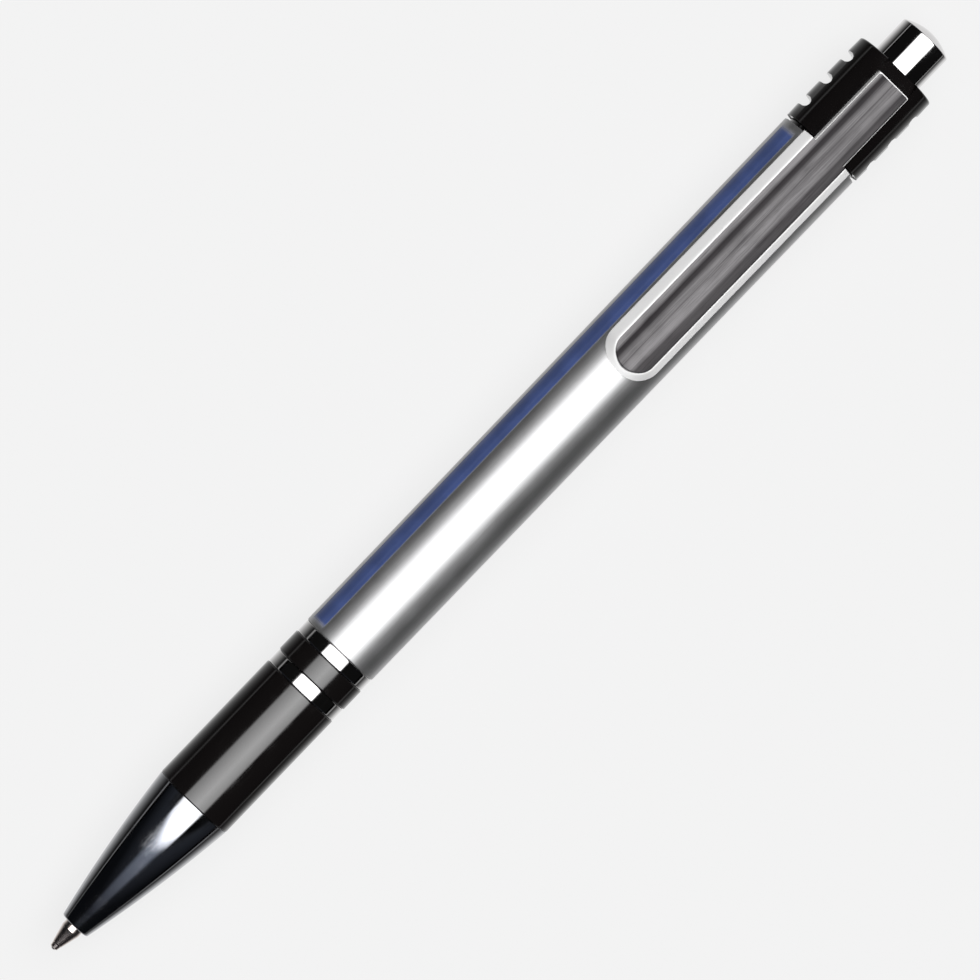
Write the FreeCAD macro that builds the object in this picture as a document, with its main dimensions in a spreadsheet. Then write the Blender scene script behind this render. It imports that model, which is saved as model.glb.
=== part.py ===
import FreeCAD, Part
import math
import os
import Sketcher

# A retractable click pen, lying along X with its button towards +X and its clip
# up, towards +Z. The origin is under the middle of its length, on the surface that
# it lies on. All sizes are in millimetres. Stations along the pen are measured from
# the writing point.

SIZES = {
    # lengths along the pen, from the writing point to the button
    "tip_out": 3.6,
    "nose_length": 19.1,
    "grip_length": 17.1,
    "lower_ring_length": 1.8,
    "spacer_length": 2.8,
    "upper_ring_length": 1.7,
    "barrel_length": 76.9,
    "collar_length": 12.3,
    "button_out": 5.7,
    # walls and steps of the casing, outwards from the core
    "core_wall": 1.32,
    "grip_wall": 0.84,
    "ring_step": 0.07,
    "barrel_front_wall": 0.815,
    "barrel_back_wall": 1.08,
    "collar_step": 0.15,
    "edge_break": 0.12,
    # nose, threads and fits
    "nose_front_wall": 0.52,
    "nose_bow_radius": 175.0,
    "nose_lip": 0.4,
    "fit_gap": 0.03,
    "running_gap": 0.06,
    "nose_socket_depth": 8.0,
    "nose_thread_wall": 0.55,
    "insert_wall": 0.52,
    "thread_gap": 0.05,
    "thread_relief": 0.3,
    "insert_inset": 0.4,
    "insert_length": 10.0,
    "mouth_gap": 0.15,
    "spring_seat_depth": 6.3,
    "spring_room": 0.25,
    # refill
    "refill_length": 107.0,
    "ball_radius": 0.35,
    "ball_gap": 0.02,
    "ball_grip": 0.14,
    "socket_lip_radius": 0.42,
    "cone_back_radius": 1.1,
    "point_radius": 1.15,
    "point_length": 11.6,
    "ink_channel_radius": 0.22,
    "point_body_length": 2.4,
    "point_tail_length": 3.0,
    "tube_radius": 1.6,
    "tube_bore_radius": 1.0,
    "shoulder_place": 25.0,
    "shoulder_length": 1.2,
    "shoulder_rim": 0.15,
    "shoulder_room": 0.45,
    "ink_length": 62.0,
    "plug_head_length": 1.5,
    "plug_tail_length": 3.5,
    "plug_vent_radius": 0.25,
    # return spring
    "wire_radius": 0.2,
    "coil_gap": 0.15,
    "coil_turns": 9,
    "wire_flats": 8,
    # click mechanism
    "sleeve_length": 17.0,
    "rib_length": 7.3,
    "rib_gap": 0.15,
    "slot_side_gap": 0.15,
    "guide_count": 4,
    "rotor_stem_radius": 1.5,
    "rotor_step": 0.35,
    "rotor_rib_gap": 0.08,
    "rotor_rib_length": 4.4,
    "rotor_rib_width": 1.6,
    "tooth_depth": 0.8,
    "tooth_half_width": 0.6,
    "tooth_pairs": 4,
    "tooth_gap": 0.1,
    "pilot_radius": 1.0,
    "pilot_length": 2.5,
    "pilot_room": 0.2,
    "plunger_radius": 2.8,
    "plunger_length": 11.4,
    "plunger_shank_radius": 2.3,
    "shank_end_gap": 0.3,
    "key_height": 0.55,
    "key_gap": 0.1,
    "key_width": 2.2,
    "key_start": 1.2,
    "key_length": 4.2,
    "button_travel": 5.0,
    # button
    "button_radius": 3.28,
    "button_length": 15.8,
    "button_bore_depth": 8.0,
    "button_dome_height": 0.95,
    "button_dome_radius": 5.2,
    "button_corner": 0.22,
    # collar
    "collar_neck_step": 0.7,
    "collar_neck_length": 0.55,
    "collar_chamfer": 0.4,
    "spigot_length": 3.0,
    "groove_first": 2.78,
    "groove_pitch": 3.38,
    "groove_count": 3,
    "groove_half_width": 0.62,
    "groove_round_radius": 0.66,
    "groove_wall": 1.04,
    "groove_lean": 8.4,
    "ramp_wall": 0.45,
    # clip
    "clip_length": 44.55,
    "clip_back_margin": 1.8,
    "clip_low_rise": 0.57,
    "clip_high_rise": 1.32,
    "clip_wall": 0.55,
    "clip_face_width": 5.15,
    "clip_outer_width": 7.1,
    "clip_flange_drop": 1.64,
    "clip_flange_foot": 1.34,
    "clip_air": 0.04,
    "root_width": 4.45,
    "root_sink": 0.28,
    "root_chamfer": 0.25,
    "root_side_gap": 0.1,
    "root_under_gap": 0.12,
    "bead_radius": 0.5,
    "bead_depth": 0.65,
    "bead_setback": 0.8,
    "tab_width": 3.6,
    "tab_thickness": 0.5,
    "tab_slot_width": 0.8,
}


class Length:
    """A size, as a number and as the sheet expression that gives it."""

    def __init__(self, value, text):
        self.value = value
        self.text = text

    def __add__(self, other):
        return combine(self, "+", other, self.value + number_of(other))

    def __radd__(self, other):
        return combine(other, "+", self, number_of(other) + self.value)

    def __sub__(self, other):
        return combine(self, "-", other, self.value - number_of(other))

    def __rsub__(self, other):
        return combine(other, "-", self, number_of(other) - self.value)

    def __mul__(self, other):
        return combine(self, "*", other, self.value * number_of(other))

    def __truediv__(self, other):
        return combine(self, "/", other, self.value / number_of(other))

    def __neg__(self):
        return combine(0.0, "-", self, -self.value)


def number_of(size):
    """The plain number of a Length or of a number."""
    return size.value if isinstance(size, Length) else float(size)


def text_of(size):
    """The expression of a Length or of a number."""
    return size.text if isinstance(size, Length) else repr(float(size))


def combine(left, sign, right, value):
    """The Length that an operation on two sizes gives."""
    return Length(value, f"({text_of(left)} {sign} {text_of(right)})")


def root_of(square):
    """The square root of a Length."""
    return Length(math.sqrt(square.value), f"sqrt({square.text})")


def leg_of(hypotenuse, leg):
    """The other leg of a right triangle."""
    return root_of(hypotenuse * hypotenuse - leg * leg)


class Arc:
    """Marks an outline's edge as an arc of this radius; turn is +1 for a left turn."""

    def __init__(self, radius, turn):
        self.radius = radius
        self.turn = turn


doc = FreeCAD.newDocument("click_pen")


def write_sheet():
    """Put the driving sizes into a spreadsheet and return them as named lengths."""
    sheet = doc.addObject("Spreadsheet::Sheet", "Sizes")
    lengths = {}
    for row, (alias, value) in enumerate(SIZES.items(), start=1):
        sheet.set(f"A{row}", alias.replace("_", " "))
        sheet.set(f"B{row}", str(value))
        sheet.setAlias(f"B{row}", alias)
        lengths[alias] = Length(float(value), f"Sizes.{alias}")
    doc.recompute()
    return lengths


size = write_sheet()

# Radii of the pieces, each from what it fits round: refill, spring, core, casing.
coil_radius = size["tube_radius"] + size["coil_gap"] + size["wire_radius"]
spring_room_radius = coil_radius + size["wire_radius"] + size["spring_room"]
shoulder_radius = coil_radius + size["wire_radius"] + size["shoulder_rim"]
core_bore_radius = shoulder_radius + size["shoulder_room"]
nose_thread_radius = core_bore_radius + size["nose_thread_wall"]
fitted_radius = core_bore_radius + size["core_wall"]
barrel_bore_radius = fitted_radius + size["fit_gap"]
rear_thread_radius = fitted_radius - size["insert_wall"] - size["thread_gap"]
grip_radius = barrel_bore_radius + size["grip_wall"]
barrel_front_radius = barrel_bore_radius + size["barrel_front_wall"]
barrel_back_radius = barrel_bore_radius + size["barrel_back_wall"]
collar_radius = barrel_back_radius + size["collar_step"]
collar_neck_radius = collar_radius - size["collar_neck_step"]
nose_mouth_radius = size["point_radius"] + size["mouth_gap"]
nose_front_radius = nose_mouth_radius + size["nose_front_wall"]
rib_inner_radius = size["plunger_radius"] + size["rib_gap"]
key_radius = size["plunger_radius"] + size["key_height"]
key_corner_square = key_radius * key_radius + size["key_width"] * size["key_width"] / 4
key_corner_radius = root_of(key_corner_square)
sleeve_bore_radius = key_radius + size["key_gap"]
rotor_rib_radius = rib_inner_radius - size["rotor_rib_gap"]
rotor_radius = size["plunger_radius"] - size["rotor_step"]
button_bore_radius = size["button_radius"] + size["running_gap"]
groove_floor_radius = button_bore_radius + size["groove_wall"]

# Heights of the clip above the pen's axis, from the barrel and the collar.
clip_low_height = barrel_back_radius + size["clip_low_rise"]
clip_high_height = barrel_back_radius + size["clip_high_rise"]
root_floor_height = collar_radius - size["root_sink"]
bead_height = root_floor_height - size["bead_depth"]

# Stations of the pieces along the pen, from the writing point.
nose_front = size["tip_out"]
grip_front = nose_front + size["nose_length"]
lower_ring_front = grip_front + size["grip_length"]
spacer_front = lower_ring_front + size["lower_ring_length"]
upper_ring_front = spacer_front + size["spacer_length"]
barrel_front = upper_ring_front + size["upper_ring_length"]
collar_front = barrel_front + size["barrel_length"]
collar_back = collar_front + size["collar_length"]
button_back = collar_back + size["button_out"]
core_front = grip_front - size["nose_socket_depth"] + size["thread_relief"]
sleeve_front = collar_front - size["spigot_length"] - size["sleeve_length"]
rib_front = collar_front - size["spigot_length"] - size["rib_length"]
rotor_front = size["refill_length"] + size["running_gap"]
rotor_rib_back = rib_front - size["fit_gap"]
plunger_front = rotor_rib_back + size["tooth_depth"] + size["tooth_gap"]
button_front = button_back - size["button_length"]
clip_back = collar_back - size["clip_back_margin"]
clip_front = clip_back - size["clip_length"]
half_length = button_back / 2
axis_height = collar_radius


def bind(thing, path, length):
    """Tie one property of an object to the sheet."""
    thing.setExpression(path, text_of(length))


def place(thing, station):
    """Put a sub-part's own zero at a station, on the pen's axis."""
    where = FreeCAD.Vector(number_of(station) - half_length.value, 0, axis_height.value)
    thing.Placement = FreeCAD.Placement(where, FreeCAD.Rotation())
    bind(thing, "Placement.Base.x", station - half_length)
    bind(thing, "Placement.Base.z", axis_height)


def new_body(name, station):
    """A PartDesign body whose zero is at a station on the pen's axis."""
    body = doc.addObject("PartDesign::Body", name)
    body.Label = name
    place(body, station)
    return body


def origin_feature(body, role):
    """One of a body's own origin planes or axes."""
    return next(f for f in body.Origin.OriginFeatures if f.Role == role)


def new_sketch(body, name, plane, offset=None):
    """An empty sketch on one of the body's origin planes, moved along its normal."""
    sketch = body.newObject("Sketcher::SketchObject", f"{body.Name}_{name}")
    sketch.AttachmentSupport = [(origin_feature(body, plane), "")]
    sketch.MapMode = "FlatFace"
    if offset is not None:
        sketch.AttachmentOffset = FreeCAD.Placement(
            FreeCAD.Vector(0, 0, number_of(offset)), FreeCAD.Rotation()
        )
        bind(sketch, "AttachmentOffset.Base.z", offset)
    return sketch


def arc_between(start, end, arc):
    """The circle arc from start to end, and whether it runs against the outline."""
    radius = number_of(arc.radius)
    chord = end - start
    middle = (start + end) * 0.5
    reach = math.sqrt(max(radius**2 - (chord.Length / 2) ** 2, 0.0))
    side = FreeCAD.Vector(-chord.y, chord.x, 0).normalize() * (reach * arc.turn)
    centre = middle + side
    first, last = (start, end) if arc.turn > 0 else (end, start)
    angles = [math.atan2(p.y - centre.y, p.x - centre.x) for p in (first, last)]
    if angles[1] < angles[0]:
        angles[1] += 2 * math.pi
    circle = Part.Circle(centre, FreeCAD.Vector(0, 0, 1), radius)
    return Part.ArcOfCircle(circle, angles[0], angles[1]), arc.turn < 0


def outline(body, name, plane, corners, offset=None):
    """A closed sketch through corners (across, up); an Arc before a corner bends its edge."""
    sketch = new_sketch(body, name, plane, offset)
    points = [c for c in corners if not isinstance(c, Arc)]
    bends = {}
    count = 0
    for corner in corners:
        if isinstance(corner, Arc):
            bends[count - 1] = corner
        else:
            count += 1
    spots = [FreeCAD.Vector(number_of(a), number_of(b), 0) for a, b in points]
    ends = []
    for edge, start in enumerate(spots):
        finish = spots[(edge + 1) % len(spots)]
        backwards = False
        if edge in bends:
            curve, backwards = arc_between(start, finish, bends[edge])
        else:
            curve = Part.LineSegment(start, finish)
        sketch.addGeometry(curve, False)
        ends.append((2, 1) if backwards else (1, 2))
    for edge in range(len(points)):
        following = (edge + 1) % len(points)
        sketch.addConstraint(
            Sketcher.Constraint("Coincident", edge, ends[edge][1], following, ends[following][0])
        )
    for edge, (across, up) in enumerate(points):
        pin_point(sketch, edge, ends[edge][0], across, up)
        if edge in bends:
            radius = bends[edge].radius
            index = sketch.addConstraint(Sketcher.Constraint("Radius", edge, number_of(radius)))
            bind(sketch, f"Constraints[{index}]", radius)
    return sketch


def pin_point(sketch, geometry, end, across, up):
    """Fix a point of a sketch at two lengths from the sketch's origin."""
    for kind, length in (("DistanceX", across), ("DistanceY", up)):
        index = sketch.addConstraint(
            Sketcher.Constraint(kind, geometry, end, number_of(length))
        )
        if isinstance(length, Length):
            bind(sketch, f"Constraints[{index}]", length)


def circle_sketch(body, name, plane, across, up, radius):
    """A sketch of one circle."""
    sketch = new_sketch(body, name, plane)
    centre = FreeCAD.Vector(number_of(across), number_of(up), 0)
    sketch.addGeometry(Part.Circle(centre, FreeCAD.Vector(0, 0, 1), number_of(radius)), False)
    pin_point(sketch, 0, 3, across, up)
    index = sketch.addConstraint(Sketcher.Constraint("Radius", 0, number_of(radius)))
    bind(sketch, f"Constraints[{index}]", radius)
    return sketch


def revolve(body, sketch, axis="H_Axis", angle=360.0, reverse=False):
    """Turn a sketch about one of its own axes and add it."""
    feature = body.newObject("PartDesign::Revolution", f"{sketch.Name}_turned")
    feature.Profile = sketch
    feature.ReferenceAxis = (sketch, [axis])
    feature.Angle = angle
    feature.Reversed = reverse
    return feature


def pad(body, sketch, length, centred=False):
    """Add a sketch drawn out by a length, to one side or centred on its plane."""
    feature = body.newObject("PartDesign::Pad", f"{sketch.Name}_pad")
    feature.Profile = sketch
    feature.Midplane = centred
    bind(feature, "Length", length)
    return feature


def pocket(body, sketch, length, centred=False, reverse=False):
    """Cut a sketch drawn in by a length; the cut has to take material away."""
    doc.recompute()
    before = body.Shape.Volume
    feature = body.newObject("PartDesign::Pocket", f"{sketch.Name}_cut")
    feature.Profile = sketch
    feature.Midplane = centred
    feature.Reversed = reverse
    bind(feature, "Length", length)
    doc.recompute()
    if not body.Shape.Volume < before:
        raise RuntimeError(f"{sketch.Name} cuts nothing")
    return feature


def repeat_round(body, features, count, angle=360.0):
    """Repeat features about the pen's axis and make the pattern the body's tip."""
    pattern = body.newObject("PartDesign::PolarPattern", f"{body.Name}_round_{len(body.Group)}")
    pattern.Originals = features
    pattern.Axis = (origin_feature(body, "X_Axis"), [""])
    pattern.Angle = angle
    bind(pattern, "Occurrences", count)
    body.Tip = pattern
    return pattern


def rectangle(across_low, up_low, across_high, up_high):
    """The corners of an upright rectangle."""
    return [
        (across_low, up_low),
        (across_high, up_low),
        (across_high, up_high),
        (across_low, up_high),
    ]


def turned_body(name, station, corners):
    """A body turned about the pen's axis from its half section (along, radius)."""
    body = new_body(name, station)
    revolve(body, outline(body, "section", "XZ_Plane", corners))
    return body


def ring_section(length, inner, outer):
    """The half section of a plain ring with broken outer edges."""
    edge = size["edge_break"]
    return [
        (0.0, inner),
        (length, inner),
        (length, outer - edge),
        (length - edge, outer),
        (edge, outer),
        (0.0, outer - edge),
    ]


def make_nose_cone():
    """The bowed metal nose, with the refill's mouth, spring seat and thread socket."""
    length = size["nose_length"]
    lip = size["nose_lip"]
    socket = length - size["nose_socket_depth"]
    thread = nose_thread_radius + size["thread_gap"]
    return turned_body(
        "nose_cone",
        nose_front,
        [
            (0.0, nose_mouth_radius),
            (size["spring_seat_depth"], nose_mouth_radius),
            (size["spring_seat_depth"], spring_room_radius),
            (socket, spring_room_radius),
            (socket, thread),
            (length, thread),
            (length, grip_radius),
            Arc(size["nose_bow_radius"], 1),
            (lip, nose_front_radius),
            (0.0, nose_front_radius - lip),
        ],
    )


def make_trim():
    """The grip sleeve and the three rings, which slide onto the core."""
    inner = barrel_bore_radius
    grip = grip_radius
    ring = grip - size["ring_step"]
    pieces = (
        ("grip_sleeve", grip_front, size["grip_length"], grip),
        ("lower_ring", lower_ring_front, size["lower_ring_length"], ring),
        ("spacer_ring", spacer_front, size["spacer_length"], grip),
        ("upper_ring", upper_ring_front, size["upper_ring_length"], ring),
    )
    for name, station, length, outer in pieces:
        turned_body(name, station, ring_section(length, inner, outer))


def make_front_core():
    """The threaded inner tube that the nose, the trim and the barrel join onto."""
    shank = grip_front - core_front
    shoulder = barrel_front - core_front
    rear = shoulder + size["insert_inset"] + size["insert_length"] - size["thread_relief"]
    bore = core_bore_radius
    turned_body(
        "front_core",
        core_front,
        [
            (0.0, bore),
            (rear, bore),
            (rear, rear_thread_radius),
            (shoulder, rear_thread_radius),
            (shoulder, fitted_radius),
            (shank, fitted_radius),
            (shank, nose_thread_radius),
            (0.0, nose_thread_radius),
        ],
    )


def make_barrel():
    """The tapered barrel and the threaded bush pressed into its front."""
    length = size["barrel_length"]
    bore = barrel_bore_radius
    edge = size["edge_break"]
    front = barrel_front_radius
    back = barrel_back_radius
    turned_body(
        "barrel_tube",
        barrel_front,
        [
            (0.0, bore),
            (length, bore),
            (length, back - edge),
            (length - edge, back),
            (edge, front),
            (0.0, front - edge),
        ],
    )
    thread = rear_thread_radius + size["thread_gap"]
    turned_body(
        "barrel_insert",
        barrel_front + size["insert_inset"],
        rectangle(0.0, thread, size["insert_length"], fitted_radius),
    )


def make_refill():
    """The refill: ball, point, tube with its spring shoulder, ink and rear plug."""
    ball = size["ball_radius"]
    ball_part = doc.addObject("Part::Sphere", "tip_ball")
    ball_part.Label = "tip_ball"
    bind(ball_part, "Radius", ball)
    place(ball_part, ball)

    socket = ball + size["ball_gap"]
    grip_back = size["ball_grip"]
    channel = size["ink_channel_radius"]
    shoulder = size["point_length"]
    tube_front = shoulder + size["point_body_length"]
    tail = tube_front + size["point_tail_length"]
    inner = size["tube_bore_radius"] - size["fit_gap"]
    turned_body(
        "refill_tip",
        Length(0.0, "0.0"),
        [
            (ball - grip_back, leg_of(socket, grip_back)),
            Arc(socket, -1),
            (ball + leg_of(socket, channel), channel),
            (tail, channel),
            (tail, inner),
            (tube_front, inner),
            (tube_front, size["tube_radius"]),
            (shoulder, size["tube_radius"]),
            (shoulder, size["point_radius"]),
            (nose_front + 1.0, size["point_radius"]),
            (nose_front, size["cone_back_radius"]),
            (ball - grip_back, size["socket_lip_radius"]),
        ],
    )
    tube_back = size["refill_length"] - size["plug_head_length"]
    stop = size["shoulder_place"] - tube_front
    stop_back = stop + size["shoulder_length"]
    length = tube_back - tube_front
    turned_body(
        "refill_tube",
        tube_front,
        [
            (0.0, size["tube_bore_radius"]),
            (length, size["tube_bore_radius"]),
            (length, size["tube_radius"]),
            (stop_back, size["tube_radius"]),
            (stop_back, shoulder_radius),
            (stop, shoulder_radius),
            (stop, size["tube_radius"]),
            (0.0, size["tube_radius"]),
        ],
    )
    turned_body(
        "ink_column",
        tail,
        rectangle(0.0, 0.0, size["ink_length"], inner),
    )
    plug_tail = size["plug_tail_length"]
    plug_back = plug_tail + size["plug_head_length"]
    turned_body(
        "refill_plug",
        tube_back - plug_tail,
        [
            (0.0, size["plug_vent_radius"]),
            (plug_back, size["plug_vent_radius"]),
            (plug_back, size["tube_radius"]),
            (plug_tail, size["tube_radius"]),
            (plug_tail, inner),
            (0.0, inner),
        ],
    )


def make_return_spring():
    """The coil spring between the nose's seat and the refill's shoulder."""
    wire = number_of(size["wire_radius"])
    coil = number_of(coil_radius)
    front = nose_front + size["spring_seat_depth"] + size["wire_radius"]
    rise = number_of(size["shoulder_place"] - size["wire_radius"] - front)
    helix = Part.makeHelix(rise / number_of(size["coil_turns"]), rise, coil)
    flats = int(size["wire_flats"].value)
    corners = []
    for number in range(flats + 1):
        turn = 2 * math.pi * number / flats
        corners.append(FreeCAD.Vector(coil + wire * math.cos(turn), 0, wire * math.sin(turn)))
    section = Part.makePolygon(corners)
    for shape in (helix, section):
        shape.rotate(FreeCAD.Vector(), FreeCAD.Vector(0, 1, 0), 90)
    spring = doc.addObject("Part::Feature", "return_spring")
    spring.Label = "return_spring"
    spring.Shape = Part.Wire(helix).makePipeShell([section], True, True)
    place(spring, front)


def make_cam_sleeve():
    """The fixed sleeve whose inner ribs guide the plunger's keys."""
    length = size["sleeve_length"]
    ribs = length - size["rib_length"]
    body = turned_body(
        "cam_sleeve",
        sleeve_front,
        [
            (0.0, sleeve_bore_radius),
            (ribs, sleeve_bore_radius),
            (ribs, rib_inner_radius),
            (length, rib_inner_radius),
            (length, fitted_radius),
            (0.0, fitted_radius),
        ],
    )
    half = size["key_width"] / 2 + size["slot_side_gap"]
    slot = outline(
        body, "slot", "YZ_Plane", rectangle(-half, 0.0, half, sleeve_bore_radius), ribs
    )
    cut = pocket(body, slot, size["rib_length"], reverse=True)
    repeat_round(body, [cut], size["guide_count"])


def cut_teeth(body, face, depth):
    """Cut V notches right across a round end face; depth is signed along the pen."""
    half = size["tooth_half_width"]
    notch = outline(
        body,
        "notch",
        "XZ_Plane",
        [(face, -half), (face, half), (face + depth, 0.0)],
    )
    cut = pocket(body, notch, collar_radius * 2, centred=True)
    pairs = size["tooth_pairs"]
    step = 180.0 / pairs.value
    repeat_round(body, [cut], pairs, step * (pairs.value - 1))


def make_rotor_cam():
    """The turning cam: a toothed crown with ribs, on a stem that pushes the refill."""
    rib_back = rotor_rib_back - rotor_front
    stem = rib_back - size["rotor_rib_length"]
    crown = rib_back + size["tooth_depth"]
    hole = size["pilot_radius"] + size["pilot_room"]
    floor = crown - size["pilot_length"] - size["pilot_room"] - size["tooth_gap"]
    body = turned_body(
        "rotor_cam",
        rotor_front,
        [
            (0.0, 0.0),
            (floor, 0.0),
            (floor, hole),
            (crown, hole),
            (crown, rotor_radius),
            (stem, rotor_radius),
            (stem, size["rotor_stem_radius"]),
            (0.0, size["rotor_stem_radius"]),
        ],
    )
    half = size["rotor_rib_width"] / 2
    inside = (hole + rotor_radius) / 2
    rib = outline(
        body, "rib", "YZ_Plane", rectangle(-half, inside, half, rotor_rib_radius), stem
    )
    raised = pad(body, rib, size["rotor_rib_length"])
    repeat_round(body, [raised], size["guide_count"])
    cut_teeth(body, crown, -size["tooth_depth"])


def make_thrust_tube():
    """The plunger under the button, with teeth that meet the rotor's and guide keys."""
    length = size["plunger_length"]
    shank = button_front + size["button_bore_depth"] - size["shank_end_gap"] - plunger_front
    body = turned_body(
        "thrust_tube",
        plunger_front,
        [
            (0.0, 0.0),
            (shank, 0.0),
            (shank, size["plunger_shank_radius"]),
            (length, size["plunger_shank_radius"]),
            (length, size["plunger_radius"]),
            (0.0, size["plunger_radius"]),
        ],
    )
    cut_teeth(body, Length(0.0, "0.0"), size["tooth_depth"])
    pilot = outline(
        body,
        "pilot",
        "XZ_Plane",
        rectangle(-size["pilot_length"], 0.0, size["tooth_depth"] * 2, size["pilot_radius"]),
    )
    revolve(body, pilot)
    half = size["key_width"] / 2
    inside = (size["pilot_radius"] + size["plunger_radius"]) / 2
    key = outline(
        body,
        "key",
        "YZ_Plane",
        rectangle(-half, inside, half, key_radius),
        size["key_start"],
    )
    raised = pad(body, key, size["key_length"])
    repeat_round(body, [raised], size["guide_count"])


def make_button_cap():
    """The domed push button, bored to fit over the plunger's shank."""
    length = size["button_length"]
    radius = size["button_radius"]
    corner = size["button_corner"]
    bore = size["plunger_shank_radius"] + size["fit_gap"]
    turned_body(
        "button_cap",
        button_front,
        [
            (0.0, bore),
            (size["button_bore_depth"], bore),
            (size["button_bore_depth"], 0.0),
            (length, 0.0),
            Arc(size["button_dome_radius"], 1),
            (length - size["button_dome_height"], radius - corner),
            (length - size["button_dome_height"] - corner, radius),
            (0.0, radius),
        ],
    )


def make_collar():
    """The ribbed collar: spigot, neck, grooved fins, button bore and the clip's seat."""
    length = size["collar_length"]
    outer = collar_radius
    neck = size["collar_neck_length"]
    chamfer = size["collar_chamfer"]
    spigot = size["spigot_length"]
    key_room = key_corner_radius + size["running_gap"]
    key_end = plunger_front + size["key_start"] + size["key_length"] - collar_front
    key_stop = key_end + size["button_travel"] + size["running_gap"]
    body = turned_body(
        "collar",
        collar_front,
        [
            (-spigot, key_room),
            (key_stop, key_room),
            (key_stop, button_bore_radius),
            (length, button_bore_radius),
            (length, outer - chamfer),
            (length - chamfer, outer),
            (neck, outer),
            (neck, collar_neck_radius),
            (0.0, collar_neck_radius),
            (0.0, fitted_radius),
            (-spigot, fitted_radius),
        ],
    )
    for number in range(int(size["groove_count"].value)):
        cut_finger_groove(body, number)
    cut_clip_seat(body)


def groove_section(body, name, plane, number, side):
    """A round-bottomed notch's outline, open outwards above or below the pen's axis."""
    middle = size["groove_first"] + size["groove_pitch"] * float(number)
    half = size["groove_half_width"]
    bottom = size["groove_round_radius"]
    rim = (groove_floor_radius + bottom - leg_of(bottom, half)) * side
    outside = (rim * side + collar_radius) * side
    return outline(
        body,
        f"{name}_{number}",
        plane,
        [
            (middle - half, rim),
            Arc(bottom, int(side)),
            (middle + half, rim),
            (middle + half, outside),
            (middle - half, outside),
        ],
    )


def cut_finger_groove(body, number):
    """A groove round the collar's back that runs straight out up both its sides."""
    lean = size["groove_lean"]
    back = groove_section(body, "groove_back", "XZ_Plane", number, -1.0)
    doc.recompute()
    before = body.Shape.Volume
    groove = body.newObject("PartDesign::Groove", f"{back.Name}_cut")
    groove.Profile = back
    groove.ReferenceAxis = (back, ["H_Axis"])
    groove.Midplane = True
    groove.Angle = 180.0 - lean.value * 2
    bind(groove, "Angle", 180.0 - lean * 2.0)
    doc.recompute()
    if not body.Shape.Volume < before:
        raise RuntimeError(f"{back.Name} cuts nothing")
    for name, side in (("groove_left", 1.0), ("groove_right", -1.0)):
        notch = groove_section(body, name, "XY_Plane", number, side)
        turn = FreeCAD.Rotation(FreeCAD.Vector(1, 0, 0), -lean.value * side)
        notch.AttachmentOffset = FreeCAD.Placement(FreeCAD.Vector(), turn)
        bind(notch, "AttachmentOffset.Rotation.Roll", lean * -side)
        pocket(body, notch, collar_radius, reverse=True)


def cut_clip_seat(body):
    """The channel over the collar, its ramp, and the keyhole slot for the clip's bead."""
    back = clip_back - collar_front
    above = clip_high_height * 2
    channel_floor = root_floor_height - size["root_under_gap"]
    bead = back - size["bead_setback"]
    channel = outline(
        body,
        "channel",
        "XZ_Plane",
        rectangle(-size["spigot_length"], channel_floor, back + size["root_side_gap"], above),
    )
    channel_width = size["root_width"] + size["root_side_gap"] * 2
    pocket(body, channel, channel_width, centred=True)
    ramp_start = back + size["root_side_gap"]
    ramp = outline(
        body,
        "ramp",
        "XZ_Plane",
        [
            (ramp_start, channel_floor),
            (size["collar_length"], button_bore_radius + size["ramp_wall"]),
            (size["collar_length"], above),
            (ramp_start, above),
        ],
    )
    pocket(body, ramp, channel_width, centred=True)
    tab_room = size["tab_width"] + size["root_side_gap"] * 2
    slot_half = size["tab_slot_width"] / 2
    slot = outline(
        body,
        "tab_slot",
        "XZ_Plane",
        rectangle(bead - slot_half, bead_height, bead + slot_half, above),
    )
    pocket(body, slot, tab_room, centred=True)
    bead_room = size["bead_radius"] + size["running_gap"]
    hole = circle_sketch(body, "bead_room", "XZ_Plane", bead, bead_height, bead_room)
    pocket(body, hole, tab_room, centred=True)


def clip_section(top):
    """The clip's section (across, up): a face with two turned-down, spread edges."""
    face = size["clip_face_width"] / 2
    outer = size["clip_outer_width"] / 2
    foot = size["clip_flange_foot"] / 2
    low = top - size["clip_flange_drop"]
    under = top - size["clip_wall"]
    inner_face = face - foot / 2
    return [
        (-face, top),
        (-outer, low),
        (-(outer - foot), low),
        (-inner_face, under),
        (inner_face, under),
        (outer - foot, low),
        (outer, low),
        (face, top),
    ]


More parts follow.
